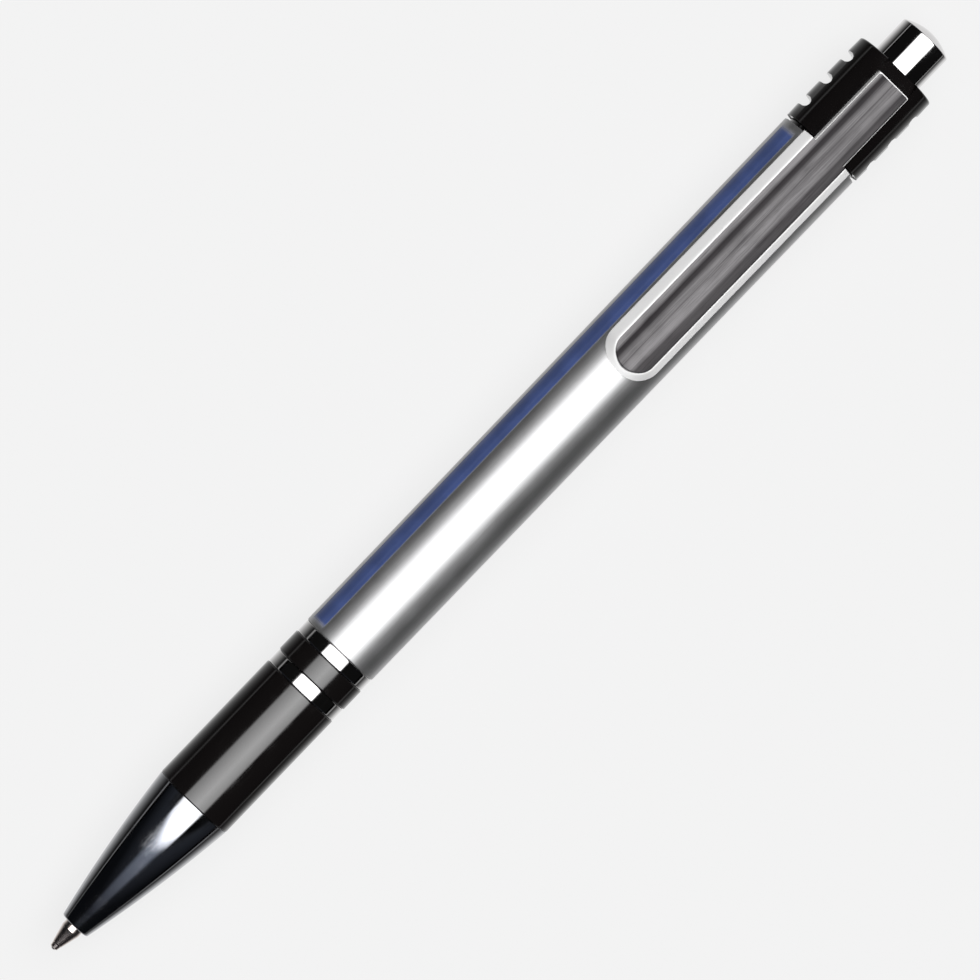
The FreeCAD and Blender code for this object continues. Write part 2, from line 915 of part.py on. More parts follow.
def make_clip():
    """The stamped clip: rounded tongue end, spread edges, narrow root, tab and bead."""
    body = new_body("clip", clip_front)
    tongue = size["clip_outer_width"] / 2
    root_start = collar_front - clip_front + size["root_side_gap"]
    low = clip_low_height
    high = clip_high_height
    near = outline(body, "end_section", "YZ_Plane", clip_section(low), tongue)
    far = outline(body, "root_section", "YZ_Plane", clip_section(high), root_start)
    loft = body.newObject("PartDesign::AdditiveLoft", "clip_strip")
    loft.Profile = near
    loft.Sections = [far]
    loft.Ruled = True
    half = [corner for corner in clip_section(low) if corner[0].value > 0]
    top_edge = [(0.0, low)]
    under_edge = [(0.0, low - size["clip_wall"])]
    end = outline(body, "tongue", "YZ_Plane", under_edge + half + top_edge, tongue)
    doc.recompute()
    before = body.Shape.BoundBox.XMin
    turned = revolve(body, end, "V_Axis", 180.0)
    doc.recompute()
    if not body.Shape.BoundBox.XMin < before - 1:
        turned.Reversed = True
        doc.recompute()

    length = size["clip_length"]
    chamfer = size["root_chamfer"]
    width = size["root_width"] / 2
    root_section = outline(
        body,
        "root",
        "YZ_Plane",
        [
            (-width, root_floor_height),
            (width, root_floor_height),
            (width, high - chamfer),
            (width - chamfer, high),
            (-(width - chamfer), high),
            (-width, high - chamfer),
        ],
        root_start,
    )
    pad(body, root_section, length - root_start)
    bead_station = length - size["bead_setback"]
    half_tab = size["tab_thickness"] / 2
    tab = outline(
        body,
        "tab",
        "XZ_Plane",
        rectangle(
            bead_station - half_tab,
            bead_height,
            bead_station + half_tab,
            root_floor_height + size["clip_wall"],
        ),
    )
    pad(body, tab, size["tab_width"], centred=True)
    bead = circle_sketch(
        body, "bead", "XZ_Plane", bead_station, bead_height, size["bead_radius"]
    )
    pad(body, bead, size["tab_width"], centred=True)
    barrel_room = circle_sketch(
        body, "barrel_room", "YZ_Plane", 0.0, 0.0, barrel_back_radius + size["clip_air"]
    )
    pocket(body, barrel_room, root_start, reverse=True)


def check_model():
    """Stop if any object failed or any sub-part's shape is empty or unsound."""
    doc.recompute()
    for thing in doc.Objects:
        if "Invalid" in thing.State or "Error" in thing.State:
            raise RuntimeError(f"{thing.Name} did not build: {thing.State}")
    parts = [
        thing
        for thing in doc.Objects
        if thing.TypeId in ("PartDesign::Body", "Part::Sphere", "Part::Feature")
    ]
    for part in parts:
        if part.Shape.isNull() or not part.Shape.isValid() or len(part.Shape.Solids) != 1:
            raise RuntimeError(f"{part.Label} is not one sound solid")
    return parts


def write_parts(parts):
    """Write each sub-part to its own STEP file."""
    os.makedirs("parts", exist_ok=True)
    for part in parts:
        part.Shape.exportStep(os.path.join("parts", f"{part.Label}.step"))
        box = part.Shape.BoundBox
        print(
            f"{part.Label}: {part.Shape.Volume:.2f} mm3, x {box.XMin:.2f} to {box.XMax:.2f}, "
            f"y {box.YMin:.2f} to {box.YMax:.2f}, z {box.ZMin:.2f} to {box.ZMax:.2f}"
        )


make_nose_cone()
make_trim()
make_front_core()
make_barrel()
make_refill()
make_return_spring()
make_cam_sleeve()
make_rotor_cam()
make_thrust_tube()
make_button_cap()
make_collar()
make_clip()
write_parts(check_model())
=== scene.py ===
"""Looks of a retractable click pen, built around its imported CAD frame.

The pen lies along X with its button towards +X and its clip up. Every length is in
metres. Places come from the frame's nodes; only what the frame doesn't say, such as
how far an edge is rounded, is written here.
"""

from __future__ import annotations

import logging
import math
from dataclasses import dataclass, field
from enum import Enum

import bmesh
import bpy
from mathutils import Matrix, Vector


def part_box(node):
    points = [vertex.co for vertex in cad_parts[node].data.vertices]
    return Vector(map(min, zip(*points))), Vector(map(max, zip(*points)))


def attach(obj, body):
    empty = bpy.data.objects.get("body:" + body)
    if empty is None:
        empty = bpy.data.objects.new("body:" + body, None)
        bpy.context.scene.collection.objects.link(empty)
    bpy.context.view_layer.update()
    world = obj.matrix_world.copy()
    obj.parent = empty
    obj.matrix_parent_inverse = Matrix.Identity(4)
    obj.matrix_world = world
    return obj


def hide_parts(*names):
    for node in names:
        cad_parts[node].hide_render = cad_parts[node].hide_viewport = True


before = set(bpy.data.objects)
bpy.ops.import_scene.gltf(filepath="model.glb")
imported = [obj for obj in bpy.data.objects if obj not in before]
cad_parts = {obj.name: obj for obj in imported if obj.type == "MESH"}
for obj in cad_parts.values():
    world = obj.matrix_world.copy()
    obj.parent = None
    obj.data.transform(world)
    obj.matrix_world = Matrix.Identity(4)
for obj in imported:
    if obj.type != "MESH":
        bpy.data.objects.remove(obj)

MM = 0.001
FULL_TURN = 2 * math.pi
AROUND = 160
ROUNDING_STEPS = 5
POLE = 1e-7
SLACK = 1e-6
# room between the barrel, the clip's root and the collar's ramp
SEAT_GAP = 0.1 * MM
# where a rounding's middle point and its support edge lie, as shares of the rounding
BEVEL = 0.3
SUPPORT = 1.4

Colour = tuple[float, float, float, float]
Ring = list[bmesh.types.BMVert]
Mesh = bmesh.types.BMesh
Piece = bpy.types.Object
Material = bpy.types.Material
Tree = bpy.types.NodeTree
Node = bpy.types.Node
Socket = bpy.types.NodeSocket

log = logging.getLogger("click_pen")


class Body(Enum):
    """The frame's moving bodies, each by its name."""

    CASING = "root"
    REFILL = "refill"
    BALL = "ball"
    BUTTON = "button"
    CLIP = "pocket_clip"


class Slot(Enum):
    """The material slots that the built pieces use."""

    DARK_CHROME = "dark_chrome"
    CHROME = "chrome"
    BLACK_GLOSS = "black_gloss"
    BARREL_SATIN = "barrel_satin"
    CLIP_STEEL = "clip_steel"
    POINT_METAL = "point_metal"
    BALL_CARBIDE = "ball_carbide"
    BRASS = "brass"
    SPRING_STEEL = "spring_steel"
    REFILL_PLASTIC = "refill_plastic"


# --------------------------------------------------------------------------- the frame


@dataclass(frozen=True)
class Span:
    """A node's reach along the pen and its greatest radius about the axis."""

    start: float
    end: float
    radius: float

    @property
    def length(self) -> float:
        """How long the node is."""
        return self.end - self.start


def span_of(node: str) -> Span:
    """Read a turned node's span from the frame.

    Args:
        node: The name of a CAD node that is round about the pen's axis.

    Returns:
        Its start, end and radius.
    """
    low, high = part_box(node)
    return Span(low[0], high[0], (high[1] - low[1]) / 2)


def spanning(node: str) -> Span:
    """A dataclass field that reads a turned node's span when it is made.

    Args:
        node: The name of the CAD node.

    Returns:
        The field.
    """
    return field(default_factory=lambda: span_of(node))


def axis_height_of_pen() -> float:
    """The height of the pen's axis over the floor, from the grip's box."""
    low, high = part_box("grip_sleeve")
    return (low[2] + high[2]) / 2


AXIS_HEIGHT = axis_height_of_pen()


# --------------------------------------------------------------------------- mesh work


@dataclass(frozen=True)
class Corner:
    """A corner of a half section: its place along the pen, its radius, its rounding."""

    along: float
    radius: float
    rounding: float = 0.0


def rounded_section(corners: list[Corner]) -> list[tuple[float, float]]:
    """Round a closed half section's corners with arcs held by close support points.

    Args:
        corners: The section's corners in order.

    Returns:
        Its points, as (along, radius).
    """
    points: list[tuple[float, float]] = []
    count = len(corners)
    for index, corner in enumerate(corners):
        here = Vector((corner.along, corner.radius))
        before = Vector((corners[index - 1].along, corners[index - 1].radius)) - here
        following = corners[(index + 1) % count]
        after = Vector((following.along, following.radius)) - here
        reach = min(corner.rounding, before.length * 0.45, after.length * 0.45)
        if reach < POLE:
            points.append((here.x, here.y))
            continue
        first = here + before.normalized() * reach
        last = here + after.normalized() * reach
        for step in range(ROUNDING_STEPS + 1):
            share = step / ROUNDING_STEPS
            spot = (
                first * (1 - share) ** 2
                + here * (2 * share * (1 - share))
                + last * share**2
            )
            points.append((spot.x, spot.y))
        support = reach * 0.15
        points.insert(len(points) - ROUNDING_STEPS - 1, tuple(first + before.normalized() * support))
        points.append(tuple(last + after.normalized() * support))
    return points


def around_axis(along: float, radius: float, angle: float) -> tuple[float, float, float]:
    """A point at a station, radius and angle, the angle turning from up towards +Y.

    Args:
        along: Place along the pen.
        radius: Distance from the pen's axis.
        angle: Angle from straight up, in radians.

    Returns:
        The point in the frame.
    """
    return along, radius * math.sin(angle), AXIS_HEIGHT + radius * math.cos(angle)


def join_rings(mesh: Mesh, first: Ring, second: Ring, closed: bool = True) -> None:
    """Skin two rings with faces; a ring of one vertex is a pole.

    Args:
        mesh: The mesh that holds them.
        first: One ring.
        second: The next ring.
        closed: Whether the rings run all the way round.
    """
    if len(first) == 1 and len(second) == 1:
        return
    count = max(len(first), len(second))
    for index in range(count if closed else count - 1):
        following = (index + 1) % count
        if len(first) == 1:
            mesh.faces.new((first[0], second[following], second[index]))
        elif len(second) == 1:
            mesh.faces.new((first[index], first[following], second[0]))
        else:
            mesh.faces.new((first[index], first[following], second[following], second[index]))


def finished_piece(
    name: str,
    mesh: Mesh,
    material: Material,
    sharp_angle: float = 40.0,
) -> Piece:
    """Turn a bmesh into a smooth-shaded object at the origin.

    Args:
        name: The piece's name.
        mesh: Its geometry, which is freed.
        material: Its finish.
        sharp_angle: Edges that turn more than this many degrees stay sharp.

    Returns:
        The new object, linked to the scene.
    """
    bmesh.ops.remove_doubles(mesh, verts=mesh.verts, dist=POLE)
    bmesh.ops.recalc_face_normals(mesh, faces=mesh.faces)
    for face in mesh.faces:
        face.smooth = True
    data = bpy.data.meshes.new(name)
    mesh.to_mesh(data)
    mesh.free()
    data.materials.append(material)
    data.set_sharp_from_angle(angle=math.radians(sharp_angle))
    piece = bpy.data.objects.new(name, data)
    bpy.context.scene.collection.objects.link(piece)
    return piece


def turned_piece(
    name: str,
    corners: list[Corner],
    material: Material,
    around: int = AROUND,
) -> Piece:
    """Turn a closed half section about the pen's axis.

    Args:
        name: The piece's name.
        corners: The section's corners.
        material: Its finish.
        around: How many steps there are round the axis.

    Returns:
        The turned piece.
    """
    mesh = bmesh.new()
    rings: list[Ring] = []
    for along, radius in rounded_section(corners):
        if radius < POLE:
            rings.append([mesh.verts.new((along, 0.0, AXIS_HEIGHT))])
            continue
        rings.append(
            [
                mesh.verts.new(around_axis(along, radius, FULL_TURN * step / around))
                for step in range(around)
            ]
        )
    for index, ring in enumerate(rings):
        join_rings(mesh, ring, rings[(index + 1) % len(rings)])
    return finished_piece(name, mesh, material)


def install(piece: Piece, body: Body, slot: Slot, *nodes: str) -> Piece:
    """Put a piece on its body and let it stand for CAD nodes.

    Args:
        piece: The finished piece.
        body: The body that it moves with.
        slot: The slot that its finish belongs to; not used.
        nodes: The CAD nodes that it replaces.

    Returns:
        The piece.
    """
    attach(piece, body.value)
    if nodes:
        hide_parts(*nodes)
    log.info("%s rides on %s", piece.name, body.value)
    return piece


# --------------------------------------------------------------------------- node trees


class Wiring:
    """Adds and links the nodes of one node tree."""

    def __init__(self, tree: Tree) -> None:
        """Keep the tree that the nodes go into."""
        self.tree = tree

    def node(self, kind: str, **settings: object) -> Node:
        """Add a node and set its properties.

        Args:
            kind: The node's type name.
            settings: Its properties.

        Returns:
            The new node.
        """
        made = self.tree.nodes.new(kind)
        for key, value in settings.items():
            setattr(made, key, value)
        return made

    def feed(self, socket: Socket, value: object) -> None:
        """Link a socket to an output, or set its own value."""
        if isinstance(value, Socket):
            self.tree.links.new(value, socket)
        else:
            socket.default_value = value

    def fill(self, made: Node, values: dict[str, object]) -> Node:
        """Feed several of a node's inputs.

        Args:
            made: The node.
            values: Sockets or plain values by the inputs' names.

        Returns:
            The node.
        """
        for label, value in values.items():
            self.feed(made.inputs[label], value)
        return made

    def object_place(self) -> Socket:
        """The coordinates of the object that is shaded."""
        return self.node("ShaderNodeTexCoord").outputs["Object"]

    def split(self, vector: Socket) -> bpy.types.bpy_prop_collection:
        """A vector's parts, by the names X, Y and Z."""
        made = self.node("ShaderNodeSeparateXYZ")
        self.feed(made.inputs[0], vector)
        return made.outputs

    def plus(self, first: object, second: object) -> Socket:
        """One value and another added."""
        return self.maths("ADD", first, second)

    def minus(self, first: object, second: object) -> Socket:
        """One value less another."""
        return self.maths("SUBTRACT", first, second)

    def times(self, first: object, second: object) -> Socket:
        """One value times another."""
        return self.maths("MULTIPLY", first, second)

    def maths(self, operation: str, *operands: object) -> Socket:
        """Add a Math node.

        Args:
            operation: What it works out.
            operands: Sockets or numbers.

        Returns:
            Its result.
        """
        made = self.node("ShaderNodeMath", operation=operation)
        for socket, value in zip(made.inputs, operands):
            self.feed(socket, value)
        return made.outputs[0]

    def remap(
        self,
        value: object,
        from_low: object,
        from_high: object,
        to_low: object,
        to_high: object,
        smooth: bool = False,
    ) -> Socket:
        """Add a Map Range node.

        Args:
            value: What is mapped.
            from_low: The range's low end.
            from_high: The range's high end.
            to_low: What the low end becomes.
            to_high: What the high end becomes.
            smooth: Whether the ramp eases in and out.

        Returns:
            The mapped value.
        """
        kind = "SMOOTHSTEP" if smooth else "LINEAR"
        made = self.node("ShaderNodeMapRange", interpolation_type=kind)
        for socket, wanted in zip(made.inputs, (value, from_low, from_high, to_low, to_high)):
            self.feed(socket, wanted)
        return made.outputs[0]

    def mix_colour(self, share: object, first: object, second: object) -> Socket:
        """Add a colour Mix node.

        Args:
            share: How much of the second colour there is.
            first: One colour.
            second: The other colour.

        Returns:
            The mixed colour.
        """
        made = self.node("ShaderNodeMix", data_type="RGBA")
        self.feed(made.inputs[0], share)
        self.feed(made.inputs[6], first)
        self.feed(made.inputs[7], second)
        return made.outputs[2]

    def noise(self, place: Socket, scale: object, detail: float, roughness: float = 0.5) -> Socket:
        """Add a Noise Texture node.

        Args:
            place: Where it is read.
            scale: How fine it is.
            detail: How many octaves it has.
            roughness: How strong the finer octaves are.

        Returns:
            Its value.
        """
        made = self.node("ShaderNodeTexNoise")
        values = {"Vector": place, "Scale": scale, "Detail": detail, "Roughness": roughness}
        return self.fill(made, values).outputs[0]

    def stretched(self, scale: tuple[float, float, float]) -> Socket:
        """Object coordinates, scaled differently along each axis."""
        mapping = self.node("ShaderNodeMapping")
        return self.fill(mapping, {"Vector": self.object_place(), "Scale": scale}).outputs[0]

    def bump(self, height: object, strength: float, distance: float) -> Socket:
        """Add a Bump node and give its normal."""
        values = {"Height": height, "Strength": strength, "Distance": distance}
        return self.fill(self.node("ShaderNodeBump"), values).outputs[0]


class Effect:
    """A surface effect that several finishes share, as a shader node group."""

    name = ""
    inputs: tuple[tuple[str, float], ...] = ()
    outputs: tuple[str, ...] = ()

    def wire(self, wiring: Wiring, given: dict[str, Socket]) -> list[object]:
        """Build the effect's nodes and return its outputs in order."""
        raise NotImplementedError

    def group(self) -> Tree:
        """Build the group, or find the one already built."""
        known = bpy.data.node_groups.get(self.name)
        if known:
            return known
        tree = bpy.data.node_groups.new(self.name, "ShaderNodeTree")
        for label, value in self.inputs:
            socket = tree.interface.new_socket(label, in_out="INPUT", socket_type="NodeSocketFloat")
            socket.default_value = value
        for label in self.outputs:
            tree.interface.new_socket(label, in_out="OUTPUT", socket_type="NodeSocketFloat")
        wiring = Wiring(tree)
        entry = wiring.node("NodeGroupInput")
        given = {label: entry.outputs[label] for label, _ in self.inputs}
        leave = wiring.node("NodeGroupOutput")
        for label, socket in zip(self.outputs, self.wire(wiring, given)):
            wiring.feed(leave.inputs[label], socket)
        return tree

    def place(self, wiring: Wiring, **values: float) -> dict[str, Socket]:
        """Put the group into a material with its own values.

        Args:
            wiring: The material's wiring.
            values: The group's inputs, with spaces in their names as underscores.

        Returns:
            The group's outputs by name.
        """
        made = wiring.node("ShaderNodeGroup", node_tree=self.group())
        for key, value in values.items():
            made.inputs[key.replace("_", " ").capitalize()].default_value = value
        return {label: made.outputs[label] for label in self.outputs}


class HandlingMarks(Effect):
    """Faint patches where fingers have dulled a polish."""

    name = "Handling marks"
    inputs = (("Scale", 180.0), ("Low", 0.05), ("High", 0.12))
    outputs = ("Roughness",)

    def wire(self, wiring: Wiring, given: dict[str, Socket]) -> list[object]:
        """Broad patches broken up by a finer noise."""
        place = wiring.object_place()
        broad = wiring.noise(place, given["Scale"], 3.0)
        fine = wiring.noise(place, wiring.times(given["Scale"], 7.0), 5.0, 0.65)
        both = wiring.plus(wiring.times(broad, 0.7), wiring.times(fine, 0.3))
        return [wiring.remap(both, 0.35, 0.68, given["Low"], given["High"], smooth=True)]


class HairScratches(Effect):
    """Thin scratches from pockets and desks, mostly along the pen."""

    name = "Hair scratches"
    inputs = (("Density", 1.0), ("Width", 0.06))
    outputs = ("Mask", "Height")

    def wire(self, wiring: Wiring, given: dict[str, Socket]) -> list[object]:
        """The crests of two long-drawn noises, laid at a slant to each other."""
        masks = []
        for turn, reach in ((0.05, 120.0), (-0.4, 260.0)):
            slanted = {
                "Vector": wiring.object_place(),
                "Rotation": (turn, turn, turn),
                "Scale": (reach, reach * 22, reach * 22),
            }
            mapping = wiring.fill(wiring.node("ShaderNodeMapping"), slanted)
            crest = wiring.noise(mapping.outputs[0], wiring.times(given["Density"], 0.6), 1.0)
            distance = wiring.maths("ABSOLUTE", wiring.minus(crest, 0.5))
            masks.append(wiring.remap(distance, 0.0, given["Width"], 1.0, 0.0, smooth=True))
        sparse = wiring.noise(wiring.stretched((300.0, 300.0, 300.0)), 1.0, 2.0)
        keep = wiring.remap(sparse, 0.52, 0.66, 0.0, 1.0)
        mask = wiring.times(wiring.maths("MAXIMUM", *masks), keep)
        return [mask, wiring.times(mask, -1.0)]


class LengthwiseBrushing(Effect):
    """Brush lines that run along the pen, broad ones and fine ones."""

    name = "Lengthwise brushing"
    inputs = (("Coarse", 900.0), ("Fine", 9000.0), ("Balance", 0.5))
    outputs = ("Lines",)

    def wire(self, wiring: Wiring, given: dict[str, Socket]) -> list[object]:
        """Two noises drawn out along X, mixed."""
        place = wiring.stretched((0.012, 1.0, 1.0))
        broad = wiring.noise(place, given["Coarse"], 2.0)
        fine = wiring.noise(place, given["Fine"], 4.0, 0.7)
        first = wiring.times(broad, wiring.minus(1.0, given["Balance"]))
        return [wiring.plus(first, wiring.times(fine, given["Balance"]))]


class MouldSkin(Effect):
    """The faint waviness of a moulded or plated surface."""

    name = "Mould skin"
    inputs = (("Scale", 700.0),)
    outputs = ("Height",)

    def wire(self, wiring: Wiring, given: dict[str, Socket]) -> list[object]:
        """One soft noise."""
        place = wiring.object_place()
        return [wiring.noise(place, given["Scale"], 2.0)]


class DustSpecks(Effect):
    """Sparse specks of dust and lint."""

    name = "Dust specks"
    inputs = (("Scale", 2600.0), ("Size", 0.11))
    outputs = ("Mask",)

    def wire(self, wiring: Wiring, given: dict[str, Socket]) -> list[object]:
        """The cores of a few scattered cells."""
        place = wiring.object_place()
        cells = wiring.node("ShaderNodeTexVoronoi")
        wiring.fill(cells, {"Vector": place, "Scale": given["Scale"]})
        core = wiring.remap(cells.outputs["Distance"], 0.0, given["Size"], 1.0, 0.0, smooth=True)
        rare = wiring.noise(place, wiring.times(given["Scale"], 0.3), 1.0)
        return [wiring.times(core, wiring.remap(rare, 0.62, 0.7, 0.0, 1.0))]


HANDLING = HandlingMarks()
SCRATCHES = HairScratches()
BRUSHING = LengthwiseBrushing()
SKIN = MouldSkin()
DUST = DustSpecks()


# --------------------------------------------------------------------------- finishes


@dataclass(frozen=True)
class Finish:
    """A named finish; each kind builds its own material once."""

    name: str

    def dress(self, wiring: Wiring, shader: Node) -> None:
        """Wire the finish's nodes into the Principled shader."""
        raise NotImplementedError

    def material(self) -> Material:
        """Build the material, or find the one already built."""
        known = bpy.data.materials.get(self.name)
        if known:
            return known
        made = bpy.data.materials.new(self.name)
        made.use_nodes = True
        wiring = Wiring(made.node_tree)
        shader = made.node_tree.nodes["Principled BSDF"]
        self.dress(wiring, shader)
        return made


@dataclass(frozen=True)
class PolishedMetal(Finish):
    """Plated or turned metal with handling marks and a few hair scratches."""

    colour: Colour = (0.8, 0.8, 0.81, 1.0)
    worn_colour: Colour = (0.7, 0.7, 0.7, 1.0)
    low: float = 0.04
    high: float = 0.1
    wave_scale: float = 420.0
    wave_strength: float = 0.03

    def dress(self, wiring: Wiring, shader: Node) -> None:
        """Mirror metal whose roughness and normal vary a little."""
        marks = HANDLING.place(wiring, scale=240.0, low=self.low, high=self.high)
        scratch = SCRATCHES.place(wiring, density=1.0, width=0.05)
        skin = SKIN.place(wiring, scale=self.wave_scale)
        height = wiring.plus(skin["Height"], wiring.times(scratch["Height"], 0.15))
        worn = wiring.times(scratch["Mask"], 0.5)
        wiring.fill(shader, {
            "Metallic": 1.0,
            "Base Color": wiring.mix_colour(worn, self.colour, self.worn_colour),
            "Roughness": wiring.plus(marks["Roughness"], wiring.times(scratch["Mask"], 0.08)),
            "Normal": wiring.bump(height, self.wave_strength, 0.02 * MM),
        })


@dataclass(frozen=True)
class GlossPlastic(Finish):
    """Moulded gloss plastic with a little dust and dulled patches."""

    colour: Colour = (0.0045, 0.0038, 0.0038, 1.0)
    dust_colour: Colour = (0.03, 0.028, 0.026, 1.0)
    low: float = 0.07
    high: float = 0.14
    ior: float = 1.7

    def dress(self, wiring: Wiring, shader: Node) -> None:
        """A dark dielectric with specks and a soft mould waviness."""
        marks = HANDLING.place(wiring, scale=200.0, low=self.low, high=self.high)
        dust = DUST.place(wiring, scale=2600.0, size=0.1)
        scratch = SCRATCHES.place(wiring, density=0.8, width=0.04)
        skin = SKIN.place(wiring, scale=520.0)
        speck = wiring.times(dust["Mask"], 0.6)
        wiring.fill(shader, {
            "IOR": self.ior,
            "Base Color": wiring.mix_colour(speck, self.colour, self.dust_colour),
            "Roughness": wiring.plus(marks["Roughness"], wiring.times(scratch["Mask"], 0.1)),
            "Normal": wiring.bump(skin["Height"], 0.04, 0.02 * MM),
        })


@dataclass(frozen=True)
class StripedBarrel(Finish):
    """Satin silver with one stripe of blue enamel along it."""

    silver: Colour = (0.59, 0.59, 0.595, 1.0)
    shade: Colour = (0.5, 0.5, 0.505, 1.0)
    blue: Colour = (0.058, 0.088, 0.23, 1.0)
    deep_blue: Colour = (0.048, 0.072, 0.185, 1.0)
    satin: float = 0.42
    stripe_angle: float = 62.6
    stripe_half_width: float = 16.0
    stripe_edge: float = 1.5
    stripe_start: float = 0.7 * MM
    stripe_end: float = 1.0 * MM
    stripe_fade: float = 0.5 * MM
    stripe_raggedness: float = 0.012
    enamel_roughness: float = 0.12

    def painted(self, wiring: Wiring, place: Socket) -> Socket:
        """How much of the barrel's surface is enamel at a place.

        Args:
            wiring: The material's wiring.
            place: The place on the barrel.

        Returns:
            One inside the stripe, none outside it, and between them at its edges.
        """
        axes = wiring.split(place)
        angle = wiring.maths("ARCTAN2", axes["Y"], wiring.minus(axes["Z"], AXIS_HEIGHT))
        off_centre = wiring.maths("ABSOLUTE", wiring.minus(angle, math.radians(self.stripe_angle)))
        ragged = wiring.minus(wiring.noise(place, 4200.0, 2.0), 0.5)
        edge = wiring.plus(off_centre, wiring.times(ragged, self.stripe_raggedness))
        half = math.radians(self.stripe_half_width)
        soft = math.radians(self.stripe_edge)
        painted = wiring.remap(edge, half - soft, half + soft, 1.0, 0.0, smooth=True)
        barrel = span_of("barrel_tube")
        fade = self.stripe_fade
        first = barrel.start + self.stripe_start
        last = barrel.end - self.stripe_end
        for end, *shares in ((first, 0.0, 1.0), (last, 1.0, 0.0)):
            reach = wiring.remap(axes["X"], end - fade, end + fade, *shares, smooth=True)
            painted = wiring.times(painted, reach)
        return painted

    def dress(self, wiring: Wiring, shader: Node) -> None:
        """Mix metal and enamel by the angle about the pen's axis."""
        place = wiring.object_place()
        painted = self.painted(wiring, place)
        lines = BRUSHING.place(wiring, coarse=1400.0, fine=16000.0, balance=0.6)["Lines"]
        tone = wiring.remap(lines, 0.35, 0.65, 0.0, 1.0)
        metal = wiring.mix_colour(tone, self.shade, self.silver)
        clouds = wiring.remap(wiring.noise(place, 260.0, 4.0), 0.4, 0.6, 0.0, 1.0)
        enamel = wiring.mix_colour(clouds, self.deep_blue, self.blue)
        low, high = self.satin - 0.02, self.satin + 0.03
        marks = HANDLING.place(wiring, scale=150.0, low=low, high=high)["Roughness"]
        satin = wiring.plus(marks, wiring.times(lines, 0.04))
        scratch = SCRATCHES.place(wiring, density=1.0, width=0.05)
        relief = wiring.plus(wiring.times(painted, 0.5), lines)
        height = wiring.plus(relief, wiring.times(scratch["Height"], 0.4))
        wiring.fill(shader, {
            "Base Color": wiring.mix_colour(painted, metal, enamel),
            "Metallic": wiring.minus(1.0, painted),
            "Roughness": wiring.remap(painted, 0.0, 1.0, satin, self.enamel_roughness),
            "Normal": wiring.bump(height, 0.12, 0.006 * MM),
        })


@dataclass(frozen=True)
class BrushedClip(Finish):
    """Dark brushed face with lighter and darker lengthwise strips of painted reflection, and satin
    edges painted near white as a highlight.
    """

    dark: Colour = (0.008, 0.0072, 0.0078, 1.0)
    # light: colour of the painted reflection strips on the face
    light: Colour = (0.085, 0.082, 0.084, 1.0)
    # edge and its low metalness paint a near-white highlight onto the turned-down edges
    edge: Colour = (0.95, 0.945, 0.94, 1.0)
    highlit_edge_metal: float = 0.08
    edge_start: float = 0.9
    edge_end: float = 0.965
    reflection_strips_reach: float = 2.5

    def painted_reflection_strips(self, wiring: Wiring, across: Socket) -> Socket:
        """How strongly the painted reflection strips lighten the face at a place across the clip.

        Args:
            wiring: The material's wiring.
            across: The place across the clip.

        Returns:
            The lightness, from none to full.
        """
        ramp = wiring.node("ShaderNodeValToRGB")
        # strength of the painted reflection at places across the face, in mm from its middle
        stops = (
            (-2.45, 0.2), (-2.2, 0.22), (-1.9, 0.22), (-1.4, 0.25), (-1.1, 0.65),
            (-0.5, 0.85), (0.05, 0.6), (0.12, 0.4), (0.25, 0.8), (0.75, 0.55),
            (1.2, 0.1), (1.6, 0.05), (2.0, 0.85), (2.4, 0.95),
        )
        points = ramp.color_ramp.elements
        while len(points) < len(stops):
            points.new(0.5)
        for point, (place, value) in zip(points, stops):
            point.position = (place / self.reflection_strips_reach + 1.0) / 2
            point.color = (value, value, value, 1.0)
        reach = self.reflection_strips_reach
        wiring.feed(ramp.inputs[0], wiring.remap(across, -reach * MM, reach * MM, 0.0, 1.0))
        return ramp.outputs[0]

    def dress(self, wiring: Wiring, shader: Node) -> None:
        """Tell the face from the edges by how steeply the surface faces up."""
        slope = wiring.split(wiring.node("ShaderNodeNewGeometry").outputs["Normal"])["Z"]
        flat = wiring.remap(slope, self.edge_start, self.edge_end, 0.0, 1.0, smooth=True)
        across = wiring.split(wiring.object_place())["Y"]
        lines = BRUSHING.place(wiring, coarse=1100.0, fine=9000.0, balance=0.45)["Lines"]
        streak = wiring.remap(lines, 0.34, 0.66, 0.35, 1.5)
        tone = wiring.times(self.painted_reflection_strips(wiring, across), streak)
        # the dark face with the painted reflection strips mixed in, streaked by the brushing
        face = wiring.mix_colour(tone, self.dark, self.light)
        marks = HANDLING.place(wiring, scale=260.0, low=0.31, high=0.38)["Roughness"]
        scratch = SCRATCHES.place(wiring, density=1.2, width=0.06)
        height = wiring.plus(lines, wiring.times(scratch["Height"], 0.3))
        wiring.fill(shader, {
            # near-white painted highlight on the edges, the face with its painted reflection
            # elsewhere
            "Base Color": wiring.mix_colour(flat, self.edge, face),
            "Metallic": wiring.remap(flat, 0.0, 1.0, self.highlit_edge_metal, 1.0),
            "Roughness": wiring.plus(marks, wiring.times(scratch["Mask"], 0.08)),
            "Normal": wiring.bump(height, 0.2, 0.01 * MM),
        })


@dataclass(frozen=True)
class MattePlastic(Finish):
    """Moulded or extruded plastic with slight colour clouds."""

    colour: Colour = (0.7, 0.69, 0.64, 1.0)
    shade: Colour = (0.6, 0.585, 0.53, 1.0)
    roughness: float = 0.42

    def dress(self, wiring: Wiring, shader: Node) -> None:
        """Cloudy colour with a fine skin."""
        clouds = wiring.noise(wiring.object_place(), 320.0, 4.0)
        share = wiring.remap(clouds, 0.35, 0.65, 0.0, 1.0)
        low, high = self.roughness - 0.06, self.roughness + 0.06
        skin = SKIN.place(wiring, scale=3800.0)
        wiring.fill(shader, {
            "Base Color": wiring.mix_colour(share, self.shade, self.colour),
            "Roughness": HANDLING.place(wiring, scale=300.0, low=low, high=high)["Roughness"],
            "Normal": wiring.bump(skin["Height"], 0.1, 0.01 * MM),
        })


